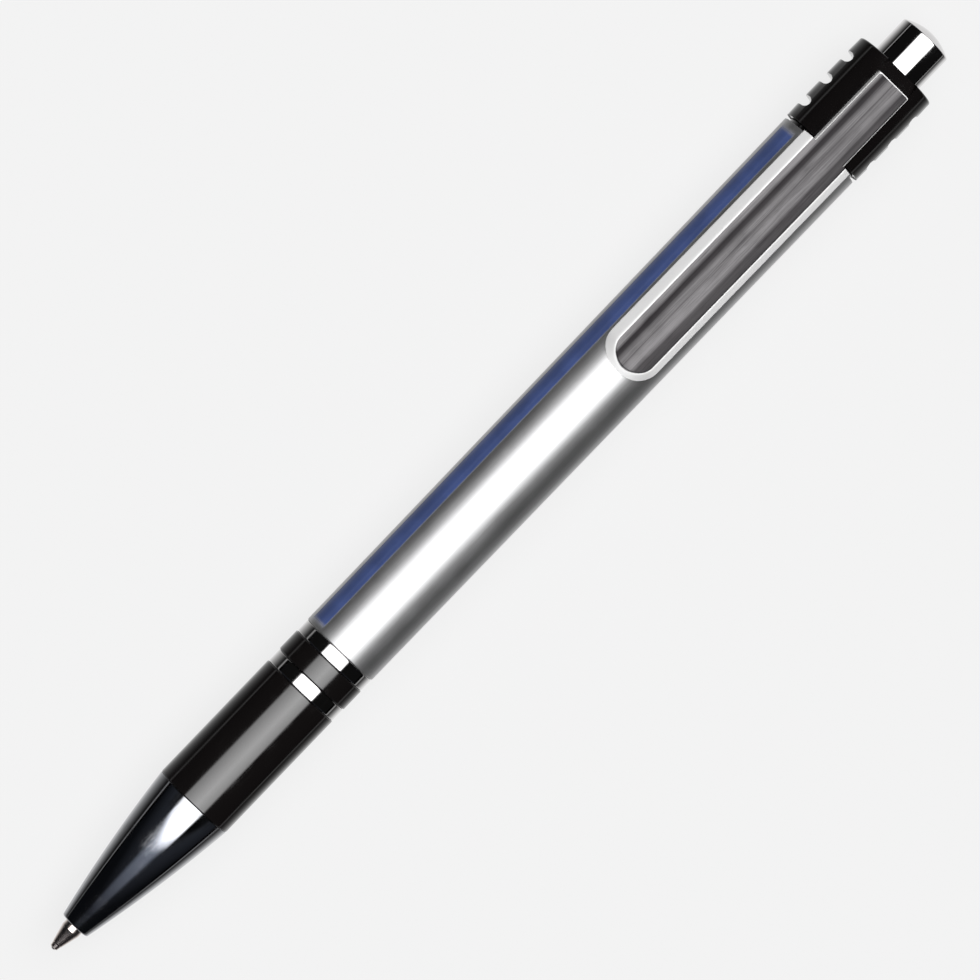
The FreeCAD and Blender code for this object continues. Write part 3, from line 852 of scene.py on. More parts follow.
DARK_CHROME = PolishedMetal(
    "dark_chrome_plate", (0.36, 0.365, 0.38, 1.0), (0.25, 0.25, 0.26, 1.0), 0.05, 0.11
)
BRIGHT_CHROME = PolishedMetal("bright_chrome_plate", colour=(0.66, 0.65, 0.65, 1.0))
POINT_METAL = PolishedMetal(
    "nickel_silver", (0.62, 0.55, 0.52, 1.0), (0.45, 0.38, 0.34, 1.0), 0.16, 0.26
)
CARBIDE = PolishedMetal("carbide", (0.42, 0.41, 0.42, 1.0), (0.3, 0.3, 0.3, 1.0), 0.1, 0.2)
BRASS = PolishedMetal("turned_brass", (0.78, 0.6, 0.3, 1.0), (0.6, 0.42, 0.18, 1.0), 0.18, 0.3)
SPRING_WIRE = PolishedMetal("spring_wire", (0.55, 0.55, 0.57, 1.0), (0.4, 0.4, 0.4, 1.0), 0.2, 0.3)
BLACK_PLASTIC = GlossPlastic("black_gloss_plastic")
BARREL = StripedBarrel("satin_barrel")
# the clip's finish, with painted reflection on its face and painted highlights on its edges
CLIP_STEEL = BrushedClip("brushed_clip_painted_light")
ACETAL = MattePlastic("acetal")
REFILL_TUBE = MattePlastic(
    "refill_tube", colour=(0.72, 0.73, 0.74, 1.0), shade=(0.62, 0.64, 0.66, 1.0), roughness=0.3
)
INK = GlossPlastic(
    "ink_paste", colour=(0.008, 0.014, 0.1, 1.0), dust_colour=(0.012, 0.02, 0.14, 1.0)
)


# --------------------------------------------------------------------------- the pen


@dataclass
class WritingPoint:
    """The refill's metal point and the ball in it."""

    tip: Span = spanning("refill_tip")
    ball: Span = spanning("tip_ball")
    lip_radius: float = 0.46 * MM
    lip_bevel: float = 0.06 * MM
    edge: float = 0.03 * MM
    step_at: float = 0.55 * MM
    step_radius: float = 0.56 * MM
    cone_end: float = 2.55 * MM
    cone_radius: float = 1.11 * MM
    shank_at: float = 2.7 * MM
    shank_radius: float = 1.15 * MM
    body_at: float = 11.4 * MM
    tail_at: float = 13.8 * MM
    tail_radius: float = 0.96 * MM
    channel_radius: float = 0.22 * MM

    def build(self) -> None:
        """Build the point and the ball."""
        self.build_point()
        self.build_ball()

    def build_point(self) -> None:
        """Turn the coned point, with the crimped lip that holds the ball."""
        start = self.tip.start
        socket = self.ball.radius + 0.01 * MM
        centre = (self.ball.start + self.ball.end) / 2
        corners = [
            Corner(start, self.lip_radius - self.lip_bevel),
            Corner(start + 0.05 * MM, self.lip_radius, 0.02 * MM),
            Corner(start + self.step_at, self.step_radius, 0.05 * MM),
            Corner(start + self.step_at + 0.08 * MM, self.step_radius + 0.05 * MM, self.edge),
            Corner(start + self.cone_end, self.cone_radius, self.edge),
            Corner(start + self.shank_at, self.shank_radius, self.edge),
            Corner(start + self.body_at, self.shank_radius, 0.02 * MM),
            Corner(start + self.body_at, self.tip.radius, 0.1 * MM),
            Corner(start + self.tail_at, self.tip.radius, 0.05 * MM),
            Corner(start + self.tail_at, self.tail_radius),
            Corner(self.tip.end, self.tail_radius, 0.1 * MM),
            Corner(self.tip.end, self.channel_radius),
            Corner(centre + socket, self.channel_radius),
            Corner(centre + socket * 0.7, socket * 0.72),
            Corner(centre, socket),
        ]
        piece = turned_piece("writing_point", corners, POINT_METAL.material(), around=96)
        install(piece, Body.REFILL, Slot.POINT_METAL, "refill_tip")

    def build_ball(self) -> None:
        """Make the ball itself."""
        mesh = bmesh.new()
        centre = Vector(((self.ball.start + self.ball.end) / 2, 0.0, AXIS_HEIGHT))
        bmesh.ops.create_uvsphere(
            mesh,
            u_segments=40,
            v_segments=24,
            radius=self.ball.radius * 0.995,
            matrix=Matrix.Translation(centre) @ Matrix.Rotation(math.pi / 2, 4, "Y"),
        )
        piece = finished_piece("writing_ball", mesh, CARBIDE.material())
        install(piece, Body.BALL, Slot.BALL_CARBIDE, "tip_ball")


@dataclass
class NoseCone:
    """The bowed nose, hollow for the refill and the spring."""

    span: Span = spanning("nose_cone")
    front_radius: float = 1.82 * MM
    mouth_radius: float = 1.3 * MM
    bow_radius: float = 175 * MM
    mouth_rounding: float = 0.08 * MM
    front_rounding: float = 0.4 * MM
    back_rounding: float = 0.1 * MM
    room_radius: float = 2.4 * MM
    room_at: float = 6.3 * MM
    socket_radius: float = 3.35 * MM
    socket_depth: float = 8.0 * MM
    bow_steps: int = 24

    def bowed_radius(self, along: float) -> float:
        """The nose's radius at a distance from its front, on its bowed side."""
        chord = Vector((self.span.length, self.span.radius - self.front_radius))
        half = chord.length / 2
        reach = math.sqrt(self.bow_radius**2 - half**2)
        middle = Vector((self.span.length / 2, (self.span.radius + self.front_radius) / 2))
        centre = middle + Vector((chord.y, -chord.x)).normalized() * reach
        return centre.y + math.sqrt(self.bow_radius**2 - (along - centre.x) ** 2)

    def build(self) -> None:
        """Turn the nose."""
        start, end = self.span.start, self.span.end
        corners = [
            Corner(start, self.mouth_radius, self.mouth_rounding),
            Corner(start, self.front_radius, self.front_rounding),
        ]
        for step in range(1, self.bow_steps):
            along = self.span.length * step / self.bow_steps
            corners.append(Corner(start + along, self.bowed_radius(along)))
        socket_at = end - self.socket_depth
        corners += [
            Corner(end, self.span.radius, self.back_rounding),
            Corner(end, self.socket_radius),
            Corner(socket_at, self.socket_radius),
            Corner(socket_at, self.room_radius),
            Corner(start + self.room_at, self.room_radius),
            Corner(start + self.room_at, self.mouth_radius),
        ]
        piece = turned_piece("bowed_nose", corners, DARK_CHROME.material())
        install(piece, Body.CASING, Slot.DARK_CHROME, "nose_cone")


@dataclass
class GripAndRings:
    """The black grip, and the chrome rings with the black ring between them."""

    bore_radius: float = 4.1 * MM
    grip_rounding: float = 0.14 * MM
    ring_rounding: float = 0.2 * MM

    def build(self) -> None:
        """Turn the four sleeves that sit on the core."""
        black = BLACK_PLASTIC.material()
        chrome = BRIGHT_CHROME.material()
        for node, name, rounding, material, slot in (
            ("grip_sleeve", "grip", self.grip_rounding, black, Slot.BLACK_GLOSS),
            ("lower_ring", "front_trim_ring", self.ring_rounding, chrome, Slot.CHROME),
            ("spacer_ring", "black_spacer", self.grip_rounding, black, Slot.BLACK_GLOSS),
            ("upper_ring", "rear_trim_ring", self.ring_rounding, chrome, Slot.CHROME),
        ):
            span = span_of(node)
            corners = [
                Corner(span.start, self.bore_radius),
                Corner(span.start, span.radius, rounding),
                Corner(span.end, span.radius, rounding),
                Corner(span.end, self.bore_radius),
            ]
            install(turned_piece(name, corners, material), Body.CASING, slot, node)


@dataclass
class BarrelShell:
    """The tapered barrel with its painted stripe."""

    span: Span = spanning("barrel_tube")
    front_radius: float = 4.915 * MM
    bore_radius: float = 4.1 * MM
    rounding: float = 0.14 * MM

    def build(self) -> None:
        """Turn the barrel."""
        corners = [
            Corner(self.span.start, self.bore_radius),
            Corner(self.span.start, self.front_radius, self.rounding),
            Corner(self.span.end, self.span.radius, self.rounding),
            Corner(self.span.end, self.bore_radius),
        ]
        piece = turned_piece("striped_barrel", corners, BARREL.material(), around=224)
        install(piece, Body.CASING, Slot.BARREL_SATIN, "barrel_tube")


@dataclass
class RibbedCollar:
    """The collar with three round grooves that run out under the clip."""

    span: Span = spanning("collar")
    barrel: Span = spanning("barrel_tube")
    clip_end: float = field(default_factory=lambda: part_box("clip")[1][0])
    neck_radius: float = 4.63 * MM
    neck_length: float = 0.55 * MM
    spigot_radius: float = 4.07 * MM
    button_bore: float = 3.34 * MM
    key_room: float = 3.586 * MM
    key_stop: float = 1.03 * MM
    edge_rounding: float = 0.35 * MM
    groove_first: float = 2.78 * MM
    groove_pitch: float = 3.38 * MM
    groove_count: int = 3
    groove_half_width: float = 0.62 * MM
    groove_round: float = 0.66 * MM
    groove_floor: float = 4.38 * MM
    groove_turn: float = math.radians(98.4)
    fin_rounding: float = 0.1 * MM
    flat_height: float = 4.93 * MM
    ramp_height: float = 3.79 * MM
    ramp_half_width: float = 2.325 * MM
    ramp_step: float = math.radians(0.3)
    groove_steps: int = 14
    around: int = 192

    @property
    def ramp_start(self) -> float:
        """Where the clip's seat ends and the ramp down to the back begins."""
        return self.clip_end + SEAT_GAP

    def run_out(self, angle: float) -> float:
        """How far round an angle lies past the turn where the grooves run out straight.

        Args:
            angle: Angle from straight up, in radians.

        Returns:
            The angle past the turn, or nothing where the grooves are round.
        """
        from_top = abs(math.remainder(angle, FULL_TURN))
        return max(0.0, self.groove_turn - from_top)

    def floor_radius(self, angle: float, lift: float) -> float:
        """Distance from the axis to a groove's surface that is lift above its floor."""
        return (self.groove_floor + lift) / math.cos(self.run_out(angle))

    def lift_at_rim(self, angle: float) -> float:
        """How far the collar's outside is above a groove's floor at an angle."""
        past = self.run_out(angle)
        if past > math.pi / 3:
            return 0.0
        return self.span.radius * math.cos(past) - self.groove_floor

    def groove_row(self, angle: float) -> list[tuple[float, float]]:
        """One groove's section at an angle, as (offset from its middle, radius).

        Args:
            angle: Angle from straight up.

        Returns:
            Points from one edge to the other, the same number at every angle.
        """
        outer = self.span.radius
        lift = self.lift_at_rim(angle)
        if lift <= 0.0:
            width = self.groove_half_width * 0.02
            steps = range(-self.groove_steps - 2, self.groove_steps + 3)
            return [(width * step / self.groove_steps, outer) for step in steps]
        straight = self.groove_round - math.sqrt(self.groove_round**2 - self.groove_half_width**2)
        if lift < straight:
            width = math.sqrt(self.groove_round**2 - (self.groove_round - lift) ** 2)
        else:
            width = self.groove_half_width
        ease = min(self.fin_rounding, lift * 0.5)
        row = []
        for step in range(-self.groove_steps, self.groove_steps + 1):
            offset = width * math.sin(math.pi / 2 * step / self.groove_steps)
            rise = self.groove_round - math.sqrt(max(self.groove_round**2 - offset**2, 0.0))
            row.append((offset, min(self.floor_radius(angle, rise), outer - ease)))
        mid = (width + ease * BEVEL, outer - ease * BEVEL)
        rim = (width + ease, outer)
        return [(-rim[0], rim[1]), (-mid[0], mid[1]), *row, mid, rim]

    def outline(self, angle: float) -> list[tuple[float, float, bool]]:
        """The collar's whole section at an angle, as (along, radius, under the clip)."""
        base = self.barrel.end
        outer = self.span.radius
        end = self.span.end
        top = rounded_section(
            [
                Corner(self.span.start, self.spigot_radius),
                Corner(base, self.spigot_radius),
                Corner(base, self.neck_radius, 0.06 * MM),
                Corner(base + self.neck_length, self.neck_radius),
                Corner(base + self.neck_length, outer, self.fin_rounding),
            ]
        )
        points = [(along, radius, True) for along, radius in top]
        for number in range(self.groove_count):
            middle = base + self.groove_first + self.groove_pitch * number
            points += [(middle + offset, radius, True) for offset, radius in self.groove_row(angle)]
        points += [(self.ramp_start, outer, True), (self.ramp_start, outer, False)]
        back = rounded_section(
            [
                Corner(end, outer, self.edge_rounding),
                Corner(end, self.button_bore, 0.12 * MM),
                Corner(base + self.key_stop, self.button_bore),
                Corner(base + self.key_stop, self.key_room),
                Corner(self.span.start, self.key_room),
                Corner(self.span.start, self.spigot_radius),
            ]
        )
        points += [(along, radius, False) for along, radius in back[:-1]]
        return points

    def ceiling(self, along: float, angle: float, under_clip: bool) -> float:
        """How high above the axis the collar may stand, under and behind the clip.

        Args:
            along: Place along the pen.
            angle: Angle from straight up, in radians.
            under_clip: Whether the place is under the clip's root.

        Returns:
            The height of the flat, of the ramp behind it, or the full radius.
        """
        if under_clip:
            return self.flat_height
        from_top = abs(math.remainder(angle, FULL_TURN))
        if from_top > math.asin(self.ramp_half_width / self.span.radius) + SLACK:
            return self.span.radius
        share = max(0.0, (along - self.ramp_start) / (self.span.end - self.ramp_start))
        return self.flat_height + (self.ramp_height - self.flat_height) * share

    def build(self) -> None:
        """Lay the sections side by side round the axis and skin them."""
        mesh = bmesh.new()
        flat_angle = math.acos(self.flat_height / self.span.radius)
        ramp_side = math.asin(self.ramp_half_width / self.span.radius)
        groove_end = self.groove_turn - math.acos(self.groove_floor / self.span.radius)
        angles = [FULL_TURN * step / self.around for step in range(self.around)]
        ramp_foot = ramp_side + self.ramp_step
        for wanted in (flat_angle, ramp_side, ramp_foot, groove_end, self.groove_turn):
            angles += [wanted, FULL_TURN - wanted]
        angles.sort()
        columns = []
        for angle in angles:
            column = []
            for along, radius, under_clip in self.outline(angle):
                x, y, z = around_axis(along, radius, angle)
                z = min(z, AXIS_HEIGHT + self.ceiling(along, angle, under_clip))
                column.append(mesh.verts.new((x, y, z)))
            columns.append(column)
        for index, column in enumerate(columns):
            join_rings(mesh, column, columns[(index + 1) % len(columns)])
        piece = finished_piece("ribbed_collar", mesh, BLACK_PLASTIC.material(), 28.0)
        install(piece, Body.CASING, Slot.BLACK_GLOSS, "collar")


@dataclass
class PocketClip:
    """The stamped clip: flat face, turned-down edges, rounded tongue, narrow root."""

    low: Vector = field(default_factory=lambda: Vector(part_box("clip")[0]))
    high: Vector = field(default_factory=lambda: Vector(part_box("clip")[1]))
    barrel: Span = spanning("barrel_tube")
    face_half_width: float = 2.575 * MM
    root_half_width: float = 2.225 * MM
    root_rounding: float = 0.2 * MM
    root_lap: float = 0.5 * MM
    wall: float = 0.55 * MM
    drop: float = 1.64 * MM
    foot: float = 0.67 * MM
    tongue_height: float = 5.75 * MM
    root_floor: float = 5.05 * MM
    barrel_gap: float = 0.1 * MM
    bend_radius: float = 0.22 * MM
    tongue_inset: float = 0.75 * MM
    tongue_length: float = 2.95 * MM
    bead_height: float = 4.4 * MM
    bead_radius: float = 0.5 * MM
    bead_setback: float = 0.8 * MM
    tab_half_width: float = 1.8 * MM
    tongue_spread: float = 0.95
    foot_support: float = 0.12 * MM
    fall_step: float = 0.02 * MM
    tongue_steps: int = 20
    strip_steps: int = 16

    @property
    def outer_half_width(self) -> float:
        """Half the width over the turned-down edges."""
        return (self.high.y - self.low.y) / 2

    @property
    def root_top(self) -> float:
        """The root's top, above the pen's axis."""
        return self.high.z - AXIS_HEIGHT

    @property
    def strip_end(self) -> float:
        """Where the strip with its turned-down edges stops, just behind the barrel."""
        return self.barrel.end + SEAT_GAP

    def face_height(self, along: float) -> float:
        """The face's height above the axis, rising from the tongue to the root."""
        start = self.low.x + self.tongue_length
        share = (along - start) / (self.strip_end - start)
        share = max(0.0, min(1.0, share))
        return self.tongue_height + (self.root_top - self.tongue_height) * share

    def face_edge(self) -> list[tuple[float, float, float, float]]:
        """The face's edge from one side round the tongue to the other side.

        Returns:
            Points as (along, across, outward along, outward across).
        """
        centre = self.low.x + self.tongue_length
        reach = self.tongue_length - self.tongue_inset
        edge = []
        for step in range(self.strip_steps):
            along = self.strip_end + (centre - self.strip_end) * step / self.strip_steps
            edge.append((along, self.face_half_width, 0.0, 1.0))
        for step in range(self.tongue_steps + 1):
            angle = math.pi * step / self.tongue_steps
            out = Vector((-math.sin(angle) / reach, math.cos(angle) / self.face_half_width))
            out.normalize()
            edge.append(
                (
                    centre - reach * math.sin(angle),
                    self.face_half_width * math.cos(angle),
                    out.x,
                    out.y,
                )
            )
        edge += [(a, -b, c, -d) for a, b, c, d in reversed(edge[: self.strip_steps])]
        return edge

    def build(self) -> None:
        """Build the strip with its tongue, the root block, the tab and the bead."""
        mesh = bmesh.new()
        self.add_strip(mesh)
        self.add_root(mesh)
        self.add_bead(mesh)
        piece = finished_piece("stamped_clip", mesh, CLIP_STEEL.material(), 35.0)
        install(piece, Body.CLIP, Slot.CLIP_STEEL, "clip")

    def add_strip(self, mesh: Mesh) -> None:
        """Add the free part: its face, its spread edges and its underside.

        Args:
            mesh: The clip's mesh.
        """
        spread = self.outer_half_width - self.face_half_width
        rows: list[Ring] = []
        for along, across, out_x, out_y in self.face_edge():
            top = self.face_height(along)
            tongue_out = (1 - abs(out_y)) * self.tongue_inset * self.tongue_spread
            out = abs(out_y) * spread + tongue_out
            fall = self.drop
            clear = self.barrel.radius + self.barrel_gap
            while fall > self.barrel_gap and math.hypot(across + out_y * out, top - fall) < clear:
                fall -= self.fall_step
            slope = Vector((out, -fall)).normalized()
            foot = self.foot * (0.5 + 0.5 * abs(out_y))
            bend = self.bend_radius
            thickness = min(self.wall, fall * 0.9)
            section = [
                (-bend * 2.2, 0.0),
                (-bend, 0.0),
                (-bend * 0.4, -bend * 0.06),
                (bend * 0.35 * slope.x, -bend * 0.16 + bend * 0.35 * slope.y),
                (bend * slope.x, bend * slope.y),
                (bend * 2.2 * slope.x, bend * 2.2 * slope.y),
                (out - self.foot_support * slope.x, -fall - self.foot_support * slope.y),
                (out - 0.02 * MM, -fall + 0.02 * MM),
                (out - 0.1 * MM, -fall),
                (out - foot + 0.08 * MM, -fall),
                (out - foot, -fall + 0.06 * MM),
                (min(-self.foot_support, out - foot - 0.25 * MM), -thickness),
                (-bend * 3.0, -thickness),
            ]
            rows.append(
                [
                    mesh.verts.new((along + out_x * o, across + out_y * o, AXIS_HEIGHT + top + h))
                    for o, h in section
                ]
            )
        for first, second in zip(rows, rows[1:]):
            join_rings(mesh, first, second, closed=False)
        self.fill_between(mesh, [row[0] for row in rows])
        self.fill_between(mesh, [row[-1] for row in rows])
        for row in (rows[0], rows[-1]):
            mesh.faces.new(row)
        mesh.faces.new([rows[0][0], rows[0][-1], rows[-1][-1], rows[-1][0]])

    @staticmethod
    def fill_between(mesh: Mesh, edge: Ring) -> None:
        """Fill a U-shaped edge with strips from side to side."""
        last = len(edge) - 1
        for index in range(last // 2):
            corners = [edge[index], edge[index + 1], edge[last - index - 1], edge[last - index]]
            unique = list(dict.fromkeys(corners))
            if len(unique) > 2:
                mesh.faces.new(unique)

    def add_root(self, mesh: Mesh) -> None:
        """Add the narrow block over the collar, flush with the face where they meet.

        Args:
            mesh: The clip's mesh.
        """
        start = self.strip_end - self.root_lap
        round_off = self.root_rounding
        bevel = round_off * BEVEL
        stations = [
            (start, self.face_height(start) - 0.04 * MM, 0.0),
            (self.strip_end - 0.02 * MM, self.root_top - 0.002 * MM, 0.0),
            (self.high.x - round_off * SUPPORT, self.root_top, 0.0),
            (self.high.x - round_off, self.root_top, 0.0),
            (self.high.x - bevel, self.root_top - bevel, bevel),
            (self.high.x, self.root_top - round_off, round_off),
        ]
        rings: list[Ring] = []
        for along, top, inset in stations:
            half = self.root_half_width - inset
            side = [
                (half, self.root_floor),
                (half, top - round_off * SUPPORT),
                (half, top - round_off),
                (half - bevel, top - bevel),
                (half - round_off, top),
                (half - round_off * SUPPORT, top),
            ]
            across = side + [(-y, height) for y, height in reversed(side)]
            rings.append([mesh.verts.new((along, y, AXIS_HEIGHT + height)) for y, height in across])
        for first, second in zip(rings, rings[1:]):
            join_rings(mesh, first, second)
        mesh.faces.new(rings[0])
        mesh.faces.new(rings[-1])

    def add_bead(self, mesh: Mesh) -> None:
        """Add the tab under the root and the round bead at its foot.

        Args:
            mesh: The clip's mesh.
        """
        bead = bmesh.new()
        centre = Vector((self.high.x - self.bead_setback, 0.0, AXIS_HEIGHT + self.bead_height))
        bmesh.ops.create_cone(
            bead,
            cap_ends=True,
            segments=32,
            radius1=self.bead_radius,
            radius2=self.bead_radius,
            depth=self.tab_half_width * 2,
            matrix=Matrix.Translation(centre) @ Matrix.Rotation(math.pi / 2, 4, "X"),
        )
        self.merge(mesh, bead)
        tab = bmesh.new()
        bmesh.ops.create_cube(tab, size=1.0)
        height = self.root_floor - self.bead_height
        bmesh.ops.scale(tab, vec=(0.5 * MM, self.tab_half_width * 2, height), verts=tab.verts)
        bmesh.ops.translate(tab, vec=centre + Vector((0, 0, height / 2)), verts=tab.verts)
        self.merge(mesh, tab)

    @staticmethod
    def merge(mesh: Mesh, other: Mesh) -> None:
        """Copy another mesh into this one and free it."""
        data = bpy.data.meshes.new("scrap")
        other.to_mesh(data)
        other.free()
        mesh.from_mesh(data)
        bpy.data.meshes.remove(data)


@dataclass
class PushButton:
    """The domed button, hollow where it takes the plunger's shank."""

    span: Span = spanning("button_cap")
    bore_radius: float = 2.33 * MM
    bore_depth: float = 8.0 * MM
    dome_height: float = 0.95 * MM
    rim_rounding: float = 0.42 * MM
    dome_steps: int = 12

    def build(self) -> None:
        """Turn the button."""
        end, radius = self.span.end, self.span.radius
        dome_radius = (radius**2 + self.dome_height**2) / (2 * self.dome_height)
        corners = [
            Corner(self.span.start, self.bore_radius, 0.05 * MM),
            Corner(self.span.start, radius, 0.15 * MM),
            Corner(end - self.dome_height, radius, self.rim_rounding),
        ]
        for step in range(1, self.dome_steps):
            reach = radius * (1 - step / self.dome_steps)
            fall = dome_radius - math.sqrt(dome_radius**2 - reach**2)
            corners.append(Corner(end - fall, reach))
        corners += [
            Corner(end, 0.0),
            Corner(self.span.start + self.bore_depth, 0.0),
            Corner(self.span.start + self.bore_depth, self.bore_radius),
        ]
        piece = turned_piece("domed_button", corners, BRIGHT_CHROME.material())
        install(piece, Body.BUTTON, Slot.CHROME, "button_cap")


# ------------------------------------------------------------------- wound pieces


class CoilTree:
    """A Geometry Nodes tree that winds a wire round the pen's axis."""

    name = "wound_wire"
    sizes = ("Start", "Length", "Turns", "Coil Radius", "Wire Radius", "Axis Height")
    steps_per_turn = 48
    wire_steps = 12

    def tree(self) -> Tree:
        """Build the tree, or find the one already built."""
        known = bpy.data.node_groups.get(self.name)
        if known:
            return known
        tree = bpy.data.node_groups.new(self.name, "GeometryNodeTree")
        interface = tree.interface
        interface.new_socket("Geometry", in_out="INPUT", socket_type="NodeSocketGeometry")
        for label in self.sizes:
            interface.new_socket(label, in_out="INPUT", socket_type="NodeSocketFloat")
        interface.new_socket("Finish", in_out="INPUT", socket_type="NodeSocketMaterial")
        interface.new_socket("Geometry", in_out="OUTPUT", socket_type="NodeSocketGeometry")
        wiring = Wiring(tree)
        entry = wiring.node("NodeGroupInput").outputs

        turns = {
            "Resolution": self.steps_per_turn,
            "Rotations": entry["Turns"],
            "Start Radius": entry["Coil Radius"],
            "End Radius": entry["Coil Radius"],
            "Height": entry["Length"],
        }
        spiral = wiring.fill(wiring.node("GeometryNodeCurveSpiral"), turns)
        wire = {"Resolution": self.wire_steps, "Radius": entry["Wire Radius"]}
        circle = wiring.node("GeometryNodeCurvePrimitiveCircle", mode="RADIUS")
        section = wiring.fill(circle, wire)
        swept = {
            "Curve": spiral.outputs["Curve"],
            "Profile Curve": section.outputs["Curve"],
            "Fill Caps": True,
        }
        sweep = wiring.fill(wiring.node("GeometryNodeCurveToMesh"), swept)
        axis = {"X": entry["Start"], "Z": entry["Axis Height"]}
        place = wiring.fill(wiring.node("ShaderNodeCombineXYZ"), axis)
        laid = {"Rotation": (0.0, math.pi / 2, 0.0), "Translation": place.outputs["Vector"]}
        made = sweep.outputs["Mesh"]
        for kind, values in (
            ("Transform", laid),
            ("SetShadeSmooth", {}),
            ("RealizeInstances", {}),
            ("SetMaterial", {"Material": entry["Finish"]}),
        ):
            step = wiring.node(f"GeometryNode{kind}")
            made = wiring.fill(step, {"Geometry": made, **values}).outputs["Geometry"]
        wiring.feed(wiring.node("NodeGroupOutput").inputs[0], made)
        return tree


@dataclass(frozen=True)
class Winding:
    """A wire or a thread ridge wound round the pen's axis."""

    name: str
    start: float
    length: float
    turns: float
    coil_radius: float
    wire_radius: float
    finish: Finish

    def build(self) -> Piece:
        """Wind it with Geometry Nodes and keep the result as a plain mesh.

        Returns:
            The wound piece.
        """
        tree = CoilTree().tree()
        holder = bpy.data.objects.new(f"{self.name}_holder", bpy.data.meshes.new("holder"))
        bpy.context.scene.collection.objects.link(holder)
        modifier = holder.modifiers.new("winding", "NODES")
        modifier.node_group = tree
        values = {
            "Start": self.start,
            "Length": self.length,
            "Turns": self.turns,
            "Coil Radius": self.coil_radius,
            "Wire Radius": self.wire_radius,
            "Axis Height": AXIS_HEIGHT,
            "Finish": self.finish.material(),
        }
        for item in tree.interface.items_tree:
            if item.in_out == "INPUT" and item.name in values:
                modifier[item.identifier] = values[item.name]
        bpy.context.view_layer.update()
        evaluated = holder.evaluated_get(bpy.context.evaluated_depsgraph_get())
        data = bpy.data.meshes.new_from_object(evaluated)
        data.name = self.name
        holder.modifiers.clear()
        bpy.data.objects.remove(holder)
        piece = bpy.data.objects.new(self.name, data)
        bpy.context.scene.collection.objects.link(piece)
        return piece


@dataclass
class InsideWorks:
    """What the casing hides: refill, spring, core, threads and click mechanism."""

    spring: Span = spanning("return_spring")
    tube: Span = spanning("refill_tube")
    core: Span = spanning("front_core")
    nose: Span = spanning("nose_cone")
    insert: Span = spanning("barrel_insert")
    wire_radius: float = 0.2 * MM
    spring_turns: float = 9.0
    thread_pitch: float = 0.6 * MM
    thread_ridge: float = 0.05 * MM
    nose_thread_radius: float = 3.3 * MM
    rear_thread_radius: float = 3.5 * MM
    tube_radius: float = 1.6 * MM
    tube_bore: float = 1.0 * MM
    stop_at: float = 11.0 * MM
    stop_length: float = 1.2 * MM

    def build(self) -> None:
        """Build the spring, the threads and the tube, and dress the rest."""
        self.build_spring()
        self.build_threads()
        self.build_tube()
        self.dress_nodes()

    def build_spring(self) -> None:
        """Wind the return spring."""
        winding = Winding(
            "wound_spring",
            self.spring.start + self.wire_radius,
            self.spring.length - 2 * self.wire_radius,
            self.spring_turns,
            self.spring.radius - self.wire_radius,
            self.wire_radius,
            SPRING_WIRE,
        )
        install(winding.build(), Body.CASING, Slot.SPRING_STEEL, "return_spring")

    def build_threads(self) -> None:
        """Wind the ridges of the core's two threads."""
        margin = 0.5 * MM
        stretches = (
            ("nose_thread", self.core.start, self.nose.end, self.nose_thread_radius),
            ("rear_thread", self.insert.start, self.core.end, self.rear_thread_radius),
        )
        for name, start, end, radius in stretches:
            length = end - start - 2 * margin
            winding = Winding(
                name,
                start + margin,
                length,
                length / self.thread_pitch,
                radius - self.thread_ridge * 0.3,
                self.thread_ridge,
                BRASS,
            )
            install(winding.build(), Body.CASING, Slot.BRASS)

    def build_tube(self) -> None:
        """Turn the refill's tube with its spring shoulder."""
        start, end = self.tube.start, self.tube.end
        stop = start + self.stop_at
        corners = [
            Corner(start, self.tube_bore),
            Corner(start, self.tube_radius, 0.1 * MM),
            Corner(stop, self.tube_radius),
            Corner(stop, self.tube.radius, 0.15 * MM),
            Corner(stop + self.stop_length, self.tube.radius, 0.15 * MM),
            Corner(stop + self.stop_length, self.tube_radius),
            Corner(end, self.tube_radius, 0.1 * MM),
            Corner(end, self.tube_bore),
        ]
        piece = turned_piece("ink_tube", corners, REFILL_TUBE.material(), around=64)
        install(piece, Body.REFILL, Slot.REFILL_PLASTIC, "refill_tube")

    @staticmethod
    def dress_nodes() -> None:
        """Give the CAD nodes that stay their finishes."""
        finishes: dict[str, Finish] = {
            "front_core": BRASS,
            "barrel_insert": BRASS,
            "ink_column": INK,
            "refill_plug": ACETAL,
            "rotor_cam": ACETAL,
            "thrust_tube": ACETAL,
            "cam_sleeve": ACETAL,
        }
        for node, finish in finishes.items():
            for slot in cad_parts[node].material_slots:
                slot.material = finish.material()
            log.info("%s keeps its CAD shape", node)


# --------------------------------------------------------------------------- studio


